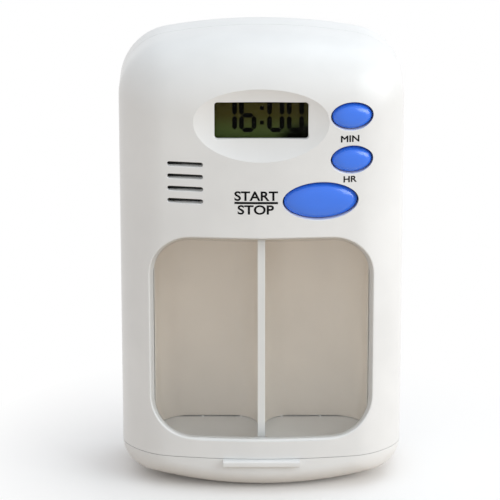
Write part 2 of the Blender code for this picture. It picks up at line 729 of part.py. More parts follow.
def centred_outline(centre_z, width, height, radius, steps=FILLET_STEPS):
    low = (-width / 2, centre_z - height / 2)
    high = (width / 2, centre_z + height / 2)
    return rounded_box_outline(low, high, [radius] * 4, steps)


def shell_cavity():
    """Hollow of the front shell, less the bosses, posts, collars and pad that stand in it."""
    front = FRONT_Y - CUT_OVERRUN
    pad = oval((0, DISH_CENTRE_HEIGHT), DISH_HALF_WIDTH + DISPLAY_PAD_MARGIN,
               DISH_HALF_HEIGHT + DISPLAY_PAD_MARGIN)
    solids = [extrusion("display_pad", [pad], front, PAD_BACK_Y)]
    for name, x, z, half_width, half_height in KEYS:
        grow = FIT_GAP + KEY_COLLAR_WALL
        collar = oval((x, z), half_width + grow, half_height + grow)
        solids.append(extrusion(name + "_collar", [collar], front, COLLAR_BACK_Y))
    collar = circle((SPEAKER_OFFSET, SPEAKER_HEIGHT), BUZZER_RADIUS + FIT_GAP + BUZZER_COLLAR_WALL)
    solids.append(extrusion("buzzer_collar", [collar], front, FRONT_Y + BUZZER_COLLAR_DEPTH))
    posts = [circle((x, z), BOARD_POST_RADIUS, SMALL_ROUND_STEPS) for _, x, z in BOARD_POSTS]
    solids.append(extrusion("board_posts", posts, front, BOARD_FRONT_Y - FIT_GAP))
    bosses = [circle((x, z), COVER_BOSS_RADIUS, SMALL_ROUND_STEPS) for _, x, z in COVER_SCREWS]
    solids.append(extrusion("cover_bosses", bosses, front, BACK_Y))
    return cut(body_solid("shell_cavity", WALL), *solids)


def make_front_shell(material):
    half = BODY_WIDTH
    tools = [
        shell_cavity(),
        block("behind_parting", (-half, SHELL_BACK_Y, -half), (half, BACK_Y + half, 2 * BODY_HEIGHT)),
        block("under_seam", (-half, -half, -half), (half, half, SHELL_BOTTOM)),
        window_cutter(),
        dish_cutter(),
    ]
    opening = centred_outline(DISPLAY_CENTRE_HEIGHT, DISPLAY_WINDOW_WIDTH, DISPLAY_WINDOW_HEIGHT,
                              DISPLAY_WINDOW_CORNER)
    tools.append(extrusion("display_opening", [opening], FRONT_Y, PAD_BACK_Y + CUT_OVERRUN))
    rebate = 2 * (LENS_MARGIN + FIT_GAP)
    pocket = centred_outline(DISPLAY_CENTRE_HEIGHT, DISPLAY_WINDOW_WIDTH + rebate,
                             DISPLAY_WINDOW_HEIGHT + rebate, DISPLAY_WINDOW_CORNER)
    pocket_y = PAD_BACK_Y - LENS_THICKNESS - FIT_GAP
    tools.append(extrusion("lens_pocket", [pocket], pocket_y, PAD_BACK_Y + CUT_OVERRUN))
    for key in KEYS:
        tools.append(key_hole_cutter(*key))
    speaker = (SPEAKER_OFFSET, SPEAKER_HEIGHT)
    seat = circle(speaker, BUZZER_RADIUS + FIT_GAP)
    throat = circle(speaker, BUZZER_RADIUS - BUZZER_LEDGE)
    throat_y = BodyForm(WALL).surface_y(SPEAKER_OFFSET, SPEAKER_HEIGHT)
    slots_end = (throat_y + BUZZER_SEAT_Y) / 2
    tools.append(extrusion("buzzer_seat", [seat], BUZZER_SEAT_Y, BUZZER_SEAT_Y + BUZZER_COLLAR_DEPTH))
    tools.append(extrusion("buzzer_throat", [throat], throat_y, BUZZER_SEAT_Y + CUT_OVERRUN))
    tools.append(extrusion("speaker_slots", slot_outlines(), FRONT_Y - CUT_OVERRUN, slots_end))
    bores = []
    for _, x, z in BOARD_POSTS:
        bores.append(circle((x, z), BOARD_SCREW_RADIUS + FIT_GAP, SMALL_ROUND_STEPS))
    deepest = BOARD_BACK_Y + FIT_GAP - BOARD_SCREW_LENGTH - FIT_GAP
    tools.append(extrusion("board_screw_bores", bores, deepest, BOARD_FRONT_Y + CUT_OVERRUN))
    bores = []
    for _, x, z in COVER_SCREWS:
        bores.append(circle((x, z), COVER_SCREW_RADIUS + FIT_GAP, SMALL_ROUND_STEPS))
    deepest = BACK_Y - COVER_SCREW_SEAT + FIT_GAP - COVER_SCREW_LENGTH - FIT_GAP
    tools.append(extrusion("cover_screw_bores", bores, deepest, BACK_Y))
    return cut(body_solid("front_shell", 0.0, material), *tools)


def cover_cavity():
    """Hollow of the rear cover, less the screw sleeves."""
    sleeves = [circle((x, z), COVER_SLEEVE_RADIUS, SMALL_ROUND_STEPS) for _, x, z in COVER_SCREWS]
    tool = extrusion("screw_sleeves", sleeves, COVER_FRONT_Y - CUT_OVERRUN, BACK_Y + CUT_OVERRUN)
    return cut(body_solid("cover_cavity", WALL), tool)


def cover_lip():
    """Low wall that runs round inside the front shell, relieved at the screw bosses."""
    half = BODY_WIDTH
    outside = WALL + FIT_GAP
    reliefs = [circle((x, z), COVER_BOSS_RADIUS + FIT_GAP, SMALL_ROUND_STEPS) for _, x, z in COVER_SCREWS]
    lip_front = COVER_FRONT_Y - COVER_LIP_REACH
    lip_back = COVER_FRONT_Y + COVER_LIP_REACH
    lip = body_solid("cover_lip", outside)
    cut(lip, body_solid("lip_inside", outside + COVER_LIP_THICKNESS),
        extrusion("lip_reliefs", reliefs, lip_front - CUT_OVERRUN, lip_back + COVER_LIP_REACH))
    keep_inside(lip, block("lip_band", (-half, lip_front, SHELL_BOTTOM), (half, lip_back, BODY_HEIGHT)))
    root = body_solid("lip_root", WALL / 2)
    cut(root, body_solid("root_inside", outside + COVER_LIP_THICKNESS / 2))
    keep_inside(root, block("root_band", (-half, COVER_FRONT_Y, SHELL_BOTTOM),
                            (half, (COVER_FRONT_Y + lip_back) / 2, BODY_HEIGHT)))
    return lip, root


def sector(centre, inner, outer, middle_angle, width_angle, steps=CORNER_STEPS):
    """Round outer edge and straight inner edge of a lug or its notch, seen along Y."""
    points = []
    start = middle_angle - width_angle / 2
    for k in range(steps + 1):
        angle = math.radians(start + width_angle * k / steps)
        points.append((centre[0] + outer * math.cos(angle), centre[1] + outer * math.sin(angle)))
    for side in (width_angle, 0):
        angle = math.radians(start + side)
        points.append((centre[0] + inner * math.cos(angle), centre[1] + inner * math.sin(angle)))
    return points


def knuckle(name, low_x, high_x, radius):
    """Barrel of the lid's hinge between two places along it, with a flat on top."""
    outline = circle((HINGE_Y, HINGE_Z), radius, SMALL_ROUND_STEPS, math.pi / SMALL_ROUND_STEPS)
    return extrusion(name, [outline], low_x, high_x, "X")


def knuckle_spans():
    """Ends of each knuckle, with the running gap taken off both."""
    edges = [HINGE_WIDTH * share for share in KNUCKLE_EDGE_SHARES]
    return [(low + FIT_GAP / 2, high - FIT_GAP / 2) for low, high in zip(edges, edges[1:])]


def cap_seat_tools():
    """Cutters for the well of the cell, the seat of its cap, the lugs' groove and the contacts' slots."""
    centre = (0, CELL_CENTRE_HEIGHT)
    groove_top = INNER_BACK_Y
    cap_hole_radius = CAP_RADIUS + FIT_GAP
    tools = [turned("cap_seat", centre, ((WELL_RADIUS, WELL_FLOOR_Y), (WELL_RADIUS, WELL_LEDGE_Y),
                                         (GROOVE_RADIUS, WELL_LEDGE_Y), (GROOVE_RADIUS, groove_top),
                                         (cap_hole_radius, groove_top),
                                         (cap_hole_radius, BACK_Y + CUT_OVERRUN)))]
    for name, opposite in (("upper", 0), ("lower", 180)):
        notch = sector(centre, CAP_HUB_RADIUS, LUG_RADIUS + FIT_GAP / 2, opposite - CAP_TURN_ANGLE,
                       CAP_NOTCH_ANGLE)
        tools.append(extrusion(name + "_lug_notch", [notch], groove_top - CUT_OVERRUN / 4,
                               BACK_Y + CUT_OVERRUN))
    slot_half = CONTACT_STRIP_WIDTH / 2 + FIT_GAP
    slot_low = CELL_CENTRE_HEIGHT - slot_half
    slot_high = CELL_CENTRE_HEIGHT + slot_half
    strip_outside = WELL_RADIUS + CONTACT_THICKNESS + FIT_GAP
    tools.append(block("positive_slot", (CELL_RADIUS - FIT_GAP, WELL_FRONT_Y - CUT_OVERRUN, slot_low),
                       (strip_outside, WELL_LEDGE_Y + FIT_GAP, slot_high)))
    leg_half = CONTACT_LEG_WIDTH / 2 + FIT_GAP
    leg_reach = CONTACT_THICKNESS / 2 + FIT_GAP
    leg_low = CELL_CENTRE_HEIGHT - leg_half
    leg_high = CELL_CENTRE_HEIGHT + leg_half
    tools.append(block("negative_slot",
                       (-CONTACT_LEG_OFFSET - leg_reach, WELL_FRONT_Y - CUT_OVERRUN, leg_low),
                       (-CONTACT_LEG_OFFSET + leg_reach, WELL_FLOOR_Y + CUT_OVERRUN, leg_high)))
    return tools


def make_rear_cover(material):
    cover = body_solid("rear_cover", 0.0, material)
    half = BODY_WIDTH
    cut(cover, cover_cavity(),
        block("before_parting", (-half, -half, -half), (half, COVER_FRONT_Y, 2 * BODY_HEIGHT)),
        block("under_cover", (-half, -half, -half), (half, half, SHELL_BOTTOM)))
    additions = list(cover_lip())
    cup = ((WELL_OUTER_RADIUS, WELL_FRONT_Y), (WELL_OUTER_RADIUS, INNER_BACK_Y + WALL / 2))
    additions.append(turned("well_cup", (0, CELL_CENTRE_HEIGHT), cup))
    hanger = [(HINGE_Y + KNUCKLE_RADIUS, SHELL_BOTTOM + KNUCKLE_RADIUS),
              (HINGE_Y, SHELL_BOTTOM + KNUCKLE_RADIUS)]
    for k in range(SMALL_ROUND_STEPS + 1):
        angle = math.pi / 2 + 1.5 * math.pi * k / SMALL_ROUND_STEPS
        hanger.append((HINGE_Y + KNUCKLE_RADIUS * math.cos(angle),
                       HINGE_Z + KNUCKLE_RADIUS * math.sin(angle)))
    for place, (low, high) in enumerate(knuckle_spans()):
        if place % 2 == 0:
            additions.append(extrusion("cover_knuckle_%d" % place, [hanger], low, high, "X"))
    join(cover, *additions)
    heads = []
    shanks = []
    for _, x, z in COVER_SCREWS:
        heads.append(circle((x, z), COVER_SCREW_HEAD_RADIUS + FIT_GAP, SMALL_ROUND_STEPS))
        shanks.append(circle((x, z), COVER_SCREW_RADIUS + FIT_GAP, SMALL_ROUND_STEPS))
    half_hinge = HINGE_WIDTH / 2 + CUT_OVERRUN
    cut(cover, *cap_seat_tools(),
        extrusion("screw_heads", heads, BACK_Y - COVER_SCREW_SEAT, BACK_Y + CUT_OVERRUN),
        extrusion("screw_holes", shanks, COVER_FRONT_Y - CUT_OVERRUN, BACK_Y),
        knuckle("cover_pin_bore", -half_hinge, half_hinge, PIN_BORE_RADIUS))
    return cover


def make_bottom_lid(material):
    """Flip lid under both compartments: hollow cap, thumb tab, catches, ribs and knuckles."""
    half = BODY_WIDTH
    ribs_top = LID_HEIGHT - LID_PLATE_THICKNESS - FIT_GAP
    solids = [block("lid_floor", (-half, -half, -half), (half, half, WALL))]
    for side in (-1, 1):
        rib = side * LID_RIB_OFFSET
        solids.append(block("lid_rib_%d" % side, (rib - LID_RIB_THICKNESS / 2, -half, -half),
                            (rib + LID_RIB_THICKNESS / 2, half, ribs_top)))
    tools = [
        cut(body_solid("lid_cavity", WALL), *solids),
        block("above_seam", (-half, -half, LID_HEIGHT), (half, half, 2 * BODY_HEIGHT)),
        block("under_foot", (-half, -half, -half), (half, half, 0)),
    ]
    round_radius = KNUCKLE_RADIUS + REAR_ROUND_PROUD
    corner = [(HINGE_Y + 2 * KNUCKLE_RADIUS, HINGE_Z),
              (HINGE_Y + 2 * KNUCKLE_RADIUS, HINGE_Z + 2 * KNUCKLE_RADIUS),
              (HINGE_Y, HINGE_Z + 2 * KNUCKLE_RADIUS)]
    for k in range(CORNER_STEPS + 1):
        angle = math.pi / 2 * (1 - k / CORNER_STEPS)
        corner.append((HINGE_Y + round_radius * math.cos(angle), HINGE_Z + round_radius * math.sin(angle)))
    tools.append(extrusion("rear_corner", [corner], -half, half, "X"))
    additions = []
    gap = KNUCKLE_RADIUS + FIT_GAP
    for place, (low, high) in enumerate(knuckle_spans()):
        if place % 2 == 1:
            additions.append(knuckle("lid_knuckle_%d" % place, low, high, KNUCKLE_RADIUS))
        else:
            tools.append(block("lid_notch_%d" % place, (low - FIT_GAP, HINGE_Y - gap, HINGE_Z - gap),
                               (high + FIT_GAP, BACK_Y + CUT_OVERRUN, LID_HEIGHT + CUT_OVERRUN)))
    tab_top = LID_HEIGHT - TAB_DROP
    tab_outline = rounded_box_outline((FRONT_Y - TAB_PROUD, tab_top - TAB_HEIGHT),
                                      (FRONT_Y + TAB_ROOT, tab_top),
                                      (TAB_EDGE, LEAST_RADIUS, LEAST_RADIUS, TAB_EDGE), FILLET_STEPS)
    additions.append(extrusion("thumb_tab", [tab_outline], -TAB_WIDTH / 2, TAB_WIDTH / 2, "X"))
    for side in (-1, 1):
        low, high = catch_box(side)
        root_y = FRONT_Y + WALL / 2
        root_top = LID_HEIGHT - CATCH_ROOT_DROP
        tongue = [(root_y, low[2]), (high[1], low[2]), (high[1], high[2]), (low[1], high[2]),
                  (low[1], root_top), (root_y, root_top)]
        additions.append(extrusion("lid_catch_%d" % side, [tongue], low[0], high[0], "X"))
    lid = body_solid("bottom_lid", 0.0, material)
    cut(lid, *tools)
    join(lid, *additions)
    half_hinge = HINGE_WIDTH / 2 + FIT_GAP
    return cut(lid, knuckle("lid_pin_bore", -half_hinge, half_hinge, PIN_BORE_RADIUS))


def catch_box(side):
    """One of the two tongues that spring behind the front shell's lower wall."""
    middle = side * CATCH_OFFSET
    front = BodyForm(WALL).face_y(CATCH_OFFSET + CATCH_WIDTH / 2) + CATCH_GAP
    low = (middle - CATCH_WIDTH / 2, front, LID_HEIGHT - LID_PLATE_THICKNESS)
    high = (middle + CATCH_WIDTH / 2, front + CATCH_THICKNESS, LID_HEIGHT + CATCH_HEIGHT)
    return low, high


def make_lid_plate(material):
    """Flat floor of both compartments, seated in the lid."""
    half = BODY_WIDTH
    plate = body_solid("lid_floor_plate", WALL + FIT_GAP, material)
    bottom = LID_HEIGHT - LID_PLATE_THICKNESS
    back = HINGE_Y - KNUCKLE_RADIUS - 2 * FIT_GAP
    keep_inside(plate, block("plate_band", (-half, -half, bottom), (half, back, LID_HEIGHT)))
    notches = []
    for side in (-1, 1):
        low, high = catch_box(side)
        left, right, back = low[0] - FIT_GAP, high[0] + FIT_GAP, high[1] + FIT_GAP
        notches.append([(left, FRONT_Y - CUT_OVERRUN), (right, FRONT_Y - CUT_OVERRUN),
                        (right, back), (left, back)])
    return cut(plate, extrusion("plate_notches", notches, 0, 2 * LID_HEIGHT, "Z"))


def make_hinge_pin(material):
    half_length = HINGE_WIDTH / 2 - FIT_GAP
    outline = circle((HINGE_Y, HINGE_Z), PIN_RADIUS, SMALL_ROUND_STEPS)
    return smooth(extrusion("lid_hinge_pin", [outline], -half_length, half_length, "X", material))


def make_window_pane(material):
    """Clear pane: a plate behind the front wall and a plug that stands in the window."""
    front = FRONT_Y - CUT_OVERRUN
    pane = body_solid("window_pane", PANE_FRONT, material)
    cut(pane, body_solid("pane_hollow", PANE_BACK))
    keep_inside(pane, extrusion("pane_outline", [mirrored(window_half(PANE_MARGIN))], front, EDGE_Y))
    plug = body_solid("pane_plug", WALL - PANE_PLUG_DEPTH)
    cut(plug, body_solid("plug_hollow", (PANE_FRONT + PANE_BACK) / 2))
    keep_inside(plug, extrusion("plug_outline", [mirrored(window_half(-FIT_GAP))], front, EDGE_Y))
    return join(pane, plug)


def make_pill_chamber(material):
    """Two tall compartments, open in front behind the pane and open at the bottom."""
    half = CHAMBER_WIDTH / 2
    outer_corner = CELL_OUTER_RADIUS + CHAMBER_WALL
    front = FRONT_Y - CUT_OVERRUN
    outline = rounded_box_outline((-half, front), (half, CHAMBER_BACK_Y),
                                  (LEAST_RADIUS, LEAST_RADIUS, outer_corner, outer_corner))
    top = CHAMBER_CEILING + CHAMBER_WALL
    chamber = extrusion("pill_chamber", [outline], SHELL_BOTTOM, top, "Z", material)
    before = block("before_chamber", (-BODY_WIDTH, front - CUT_OVERRUN, 0), (BODY_WIDTH, EDGE_Y, 2 * top))
    cut(before, body_solid("behind_pane", CHAMBER_FRONT))
    cut(chamber, before)
    inner = half - CHAMBER_WALL
    cell_back = CHAMBER_BACK_Y - CHAMBER_WALL
    cell_front = front - CUT_OVERRUN
    cells = (
        rounded_box_outline((DIVIDER_THICKNESS / 2, cell_front), (inner, cell_back),
                            (LEAST_RADIUS, LEAST_RADIUS, CELL_OUTER_RADIUS, CELL_DIVIDER_RADIUS)),
        rounded_box_outline((-inner, cell_front), (-DIVIDER_THICKNESS / 2, cell_back),
                            (LEAST_RADIUS, LEAST_RADIUS, CELL_DIVIDER_RADIUS, CELL_OUTER_RADIUS)),
    )
    return cut(chamber, extrusion("compartments", cells, SHELL_BOTTOM - CUT_OVERRUN, CHAMBER_CEILING, "Z"))


def make_display(lens_material, glass_material, holder_material, rubber_material):
    """Lens, liquid-crystal panel, its holder and the rubber strip that connects it."""
    centre = DISPLAY_CENTRE_HEIGHT
    lens = centred_outline(centre, DISPLAY_WINDOW_WIDTH + 2 * LENS_MARGIN,
                           DISPLAY_WINDOW_HEIGHT + 2 * LENS_MARGIN, DISPLAY_WINDOW_CORNER)
    extrusion("display_lens", [lens], PAD_BACK_Y - LENS_THICKNESS, PAD_BACK_Y, "Y", lens_material)
    panel = centred_outline(centre, LCD_WIDTH, LCD_HEIGHT, LEAST_RADIUS)
    extrusion("lcd_panel", [panel], LCD_FRONT_Y, LCD_BACK_Y, "Y", glass_material)
    grow = 2 * (FIT_GAP + LCD_HOLDER_WALL)
    frame = centred_outline(centre, LCD_WIDTH + grow, LCD_HEIGHT + grow, LCD_HOLDER_WALL)
    back = BOARD_FRONT_Y - FIT_GAP
    holder = extrusion("lcd_holder", [frame], PAD_BACK_Y + FIT_GAP, back, "Y", holder_material)
    hollow = centred_outline(centre, LCD_WIDTH + 2 * FIT_GAP, LCD_HEIGHT + 2 * FIT_GAP, LEAST_RADIUS)
    cut(holder, extrusion("holder_hollow", [hollow], PAD_BACK_Y - CUT_OVERRUN, BOARD_FRONT_Y + CUT_OVERRUN))
    strip_centre = centre - LCD_HEIGHT / 2 + CONTACT_STRIP_HEIGHT / 2
    strip = centred_outline(strip_centre, LCD_WIDTH, CONTACT_STRIP_HEIGHT, LEAST_RADIUS)
    extrusion("lcd_contact_strip", [strip], LCD_BACK_Y + FIT_GAP, back, "Y", rubber_material)


def make_key(name, x, z, half_width, half_height, key_material, pad_material):
    """A domed key with a flange behind its collar, a stem, and a contact pad under the stem."""
    plane = key_plane(x, z)

    def dome(share):
        drop = KEY_RECESS - KEY_CROWN * (1 - share * share)
        return lambda px, pz: plane(px, pz) + drop

    rings = [(half_width * share, half_height * share, dome(share)) for share in KEY_DOME_SHARES]
    edge = KEY_EDGE_DROP / 2
    rings.append((half_width - edge, half_height - edge, dome(1)))
    rings.append((half_width, half_height, lambda px, pz: plane(px, pz) + KEY_RECESS + KEY_EDGE_DROP))
    flange_front = COLLAR_BACK_Y + FIT_GAP
    flange_back = flange_front + KEY_FLANGE_THICKNESS
    pad_back = BOARD_FRONT_Y - FIT_GAP - KEY_TRAVEL
    pad_front = pad_back - CONTACT_PAD_THICKNESS
    stem_back = pad_front - FIT_GAP
    wide = half_width + KEY_FLANGE_WIDTH
    high = half_height + KEY_FLANGE_WIDTH
    rings.append((half_width, half_height, lambda px, pz: flange_front))
    rings.append((wide, high, lambda px, pz: flange_front))
    rings.append((wide, high, lambda px, pz: flange_back))
    rings.append((KEY_STEM_RADIUS, KEY_STEM_RADIUS, lambda px, pz: flange_back))
    rings.append((KEY_STEM_RADIUS, KEY_STEM_RADIUS, lambda px, pz: stem_back))
    key = smooth(oval_solid(name + "_button", (x, z), rings, ROUND_STEPS, key_material))
    pad = turned(name + "_contact_pad", (x, z),
                 ((CONTACT_PAD_RADIUS, pad_front), (CONTACT_PAD_RADIUS, pad_back)),
                 SMALL_ROUND_STEPS, pad_material)
    hang_on(name + "_slide", (x, flange_front, z), (key, smooth(pad)))


def make_keypad_mat(material):
    """Soft mat that lies on the board round the contacts of the three keys."""
    top = max(z + half for _, x, z, _, half in KEYS) + KEYPAD_MAT_MARGIN
    bottom = START_KEY_HEIGHT - START_KEY_HALF_HEIGHT + KEYPAD_MAT_MARGIN
    left = START_KEY_OFFSET - START_KEY_HALF_WIDTH
    right = BOARD_WIDTH / 2 - KEYPAD_MAT_MARGIN
    step_x = LCD_WIDTH / 2 + 2 * FIT_GAP + LCD_HOLDER_WALL
    step_z = START_KEY_HEIGHT + START_KEY_HALF_HEIGHT
    outline = [(left, bottom), (right, bottom), (right, top), (step_x, top),
               (step_x, step_z), (left, step_z)]
    back = BOARD_FRONT_Y - FIT_GAP
    mat = extrusion("keypad_mat", [outline], back - KEYPAD_MAT_THICKNESS, back, "Y", material)
    hole = CONTACT_PAD_RADIUS + KEYPAD_HOLE_CLEARANCE
    holes = [circle((x, z), hole, SMALL_ROUND_STEPS) for _, x, z, _, _ in KEYS]
    return cut(mat, extrusion("mat_holes", holes, back - BOARD_THICKNESS - CUT_OVERRUN, back + CUT_OVERRUN))


def make_board(board_material, chip_material, can_material):
    """Circuit board behind the display, with its covered chip and crystal."""
    low = (-BOARD_WIDTH / 2, BOARD_BOTTOM)
    high = (BOARD_WIDTH / 2, BOARD_TOP)
    outline = rounded_box_outline(low, high, [BOARD_CORNER_RADIUS] * 4, FILLET_STEPS)
    board = extrusion("circuit_board", [outline], BOARD_FRONT_Y, BOARD_BACK_Y, "Y", board_material)
    front = BOARD_FRONT_Y - CUT_OVERRUN
    back = BOARD_BACK_Y + CUT_OVERRUN
    reliefs = [circle((x, z), COVER_BOSS_RADIUS + FIT_GAP, SMALL_ROUND_STEPS) for _, x, z in COVER_SCREWS]
    holes = [circle((x, z), BOARD_SCREW_RADIUS + FIT_GAP, SMALL_ROUND_STEPS) for _, x, z in BOARD_POSTS]
    cut(board, extrusion("board_reliefs", reliefs, front, back),
        extrusion("board_holes", holes, front, back))
    chip_front = BOARD_BACK_Y + FIT_GAP
    profile = []
    for k in range(FILLET_STEPS + 1):
        angle = math.pi / 2 * k / (FILLET_STEPS + 1)
        profile.append((CHIP_RADIUS * math.cos(angle), chip_front + CHIP_HEIGHT * math.sin(angle)))
    smooth(turned("chip_blob", (CHIP_OFFSET, CHIP_LEVEL), profile, SMALL_ROUND_STEPS, chip_material))
    can_centre = (BOARD_BACK_Y + FIT_GAP + CRYSTAL_RADIUS, CRYSTAL_LEVEL)
    can = circle(can_centre, CRYSTAL_RADIUS, SMALL_ROUND_STEPS)
    smooth(extrusion("timing_crystal", [can], CRYSTAL_OFFSET - CRYSTAL_LENGTH / 2,
                     CRYSTAL_OFFSET + CRYSTAL_LENGTH / 2, "X", can_material))


def make_screw(name, x, z, seat_y, radius, head_radius, head_height, length, material):
    """Pan-head screw that enters along -Y, with a cross recess in its head."""
    crown = head_radius * math.cos(math.radians(30))
    profile = (
        (radius, seat_y - length),
        (radius, seat_y),
        (head_radius, seat_y),
        (head_radius, seat_y + head_height / 2),
        (crown, seat_y + head_height),
    )
    screw = turned(name, (x, z), profile, SMALL_ROUND_STEPS, material)
    reach = head_radius * DRIVE_LENGTH_SHARE / 2
    half = DRIVE_WIDTH / 2
    arms = (
        [(x - reach, z - half), (x + reach, z - half), (x + reach, z + half), (x - reach, z + half)],
        [(x - half, z - reach), (x + half, z - reach), (x + half, z + reach), (x - half, z + reach)],
    )
    bottom = seat_y + head_height * (1 - DRIVE_DEPTH_SHARE)
    drives = []
    for place, arm in enumerate(arms):
        top = seat_y + head_height + CUT_OVERRUN
        drives.append(extrusion("%s_drive_%d" % (name, place), [arm], bottom, top))
    return cut(screw, *drives)


def make_buzzer(brass_material, ceramic_material, spring_material):
    """Piezo disc on its ledge behind the slots, with two springs that reach it from the board."""
    centre = (SPEAKER_OFFSET, SPEAKER_HEIGHT)
    front = BUZZER_SEAT_Y + FIT_GAP
    disc_back = front + BUZZER_THICKNESS
    smooth(turned("buzzer_disc", centre, ((BUZZER_RADIUS, front), (BUZZER_RADIUS, disc_back)),
                  ROUND_STEPS, brass_material))
    ceramic_front = disc_back + FIT_GAP
    ceramic_back = ceramic_front + CERAMIC_THICKNESS
    profile = ((CERAMIC_RADIUS, ceramic_front), (CERAMIC_RADIUS, ceramic_back))
    smooth(turned("buzzer_ceramic", centre, profile, ROUND_STEPS, ceramic_material))
    make_spring("buzzer_spring_inner", centre, ceramic_back, spring_material)
    edge = (SPEAKER_OFFSET + BUZZER_SPRING_REACH, SPEAKER_HEIGHT)
    make_spring("buzzer_spring_outer", edge, disc_back, spring_material)


def make_spring(name, centre, seat_y, material):
    """A short coil of wire between the buzzer and the board."""
    start = seat_y + FIT_GAP + BUZZER_WIRE_RADIUS
    end = BOARD_FRONT_Y - FIT_GAP - BUZZER_WIRE_RADIUS
    count = round(BUZZER_SPRING_TURNS * WIRE_STEPS)
    curve = bpy.data.curves.new(name, "CURVE")
    curve.dimensions = "3D"
    curve.bevel_depth = BUZZER_WIRE_RADIUS
    curve.bevel_resolution = WIRE_SIDES_RESOLUTION
    curve.use_fill_caps = True
    spline = curve.splines.new("POLY")
    spline.points.add(count)
    for k in range(count + 1):
        angle = 2 * math.pi * k / WIRE_STEPS
        x = centre[0] + BUZZER_SPRING_RADIUS * math.cos(angle)
        z = centre[1] + BUZZER_SPRING_RADIUS * math.sin(angle)
        spline.points[k].co = (x, start + (end - start) * k / count, z, 1)
    curve.materials.append(material)
    spring = bpy.data.objects.new(name, curve)
    bpy.context.collection.objects.link(spring)
    return spring


def make_battery_cap(material):
    """Round cap that a coin turns: rim, hub, two lugs under the cover, and a slot."""
    centre = (0, CELL_CENTRE_HEIGHT)
    profile = ((CAP_HUB_RADIUS, CAP_FRONT_Y), (CAP_HUB_RADIUS, CAP_HUB_Y), (CAP_RADIUS, CAP_HUB_Y),
               (CAP_RADIUS, CAP_BACK_Y))
    cap = turned("battery_cap", centre, profile, ROUND_STEPS, material)
    lugs = []
    for opposite in (0, 180):
        lugs.append(sector(centre, CAP_HUB_RADIUS - CAP_LUG_REACH, LUG_RADIUS, opposite, CAP_LUG_ANGLE))
    lug_tool = extrusion("cap_lugs", lugs, CAP_FRONT_Y, CAP_FRONT_Y + CAP_LUG_THICKNESS)
    join(cap, lug_tool)
    half_length = COIN_SLOT_LENGTH / 2
    half_width = COIN_SLOT_WIDTH / 2
    slot = rounded_box_outline((-half_length, centre[1] - half_width), (half_length, centre[1] + half_width),
                               [half_width] * 4, FILLET_STEPS)
    cut(cap, extrusion("coin_slot", [slot], CAP_BACK_Y - COIN_SLOT_DEPTH, CAP_BACK_Y + CUT_OVERRUN))
    hang_on("battery_cap_turn", (0, CAP_BACK_Y, CELL_CENTRE_HEIGHT), (cap,))


def make_cell(cell_material, contact_material):
    """Button cell with its side strip and its bottom contact, both reaching to the board."""
    centre = (0, CELL_CENTRE_HEIGHT)
    profile = (
        (CELL_RADIUS - CELL_CHAMFER, CELL_FRONT_Y),
        (CELL_RADIUS, CELL_FRONT_Y + CELL_CHAMFER),
        (CELL_RADIUS, CELL_BACK_Y),
    )
    smooth(turned("button_cell", centre, profile, ROUND_STEPS, cell_material))
    board_side = BOARD_BACK_Y + FIT_GAP
    half = CONTACT_STRIP_WIDTH / 2
    strip_inside = WELL_RADIUS
    block("battery_contact_positive", (strip_inside, board_side, CELL_CENTRE_HEIGHT - half),
          (strip_inside + CONTACT_THICKNESS, WELL_LEDGE_Y - FIT_GAP, CELL_CENTRE_HEIGHT + half),
          contact_material)
    plate = turned("battery_contact_negative", centre,
                   ((CONTACT_DISC_RADIUS, CONTACT_FRONT_Y), (CONTACT_DISC_RADIUS, CONTACT_BACK_Y)),
                   SMALL_ROUND_STEPS, contact_material)
    leg_half = CONTACT_LEG_WIDTH / 2
    leg = block("contact_leg",
                (-CONTACT_LEG_OFFSET - CONTACT_THICKNESS / 2, board_side, CELL_CENTRE_HEIGHT - leg_half),
                (-CONTACT_LEG_OFFSET + CONTACT_THICKNESS / 2, CONTACT_FRONT_Y + CONTACT_THICKNESS / 2,
                 CELL_CENTRE_HEIGHT + leg_half))
    join(plate, leg)


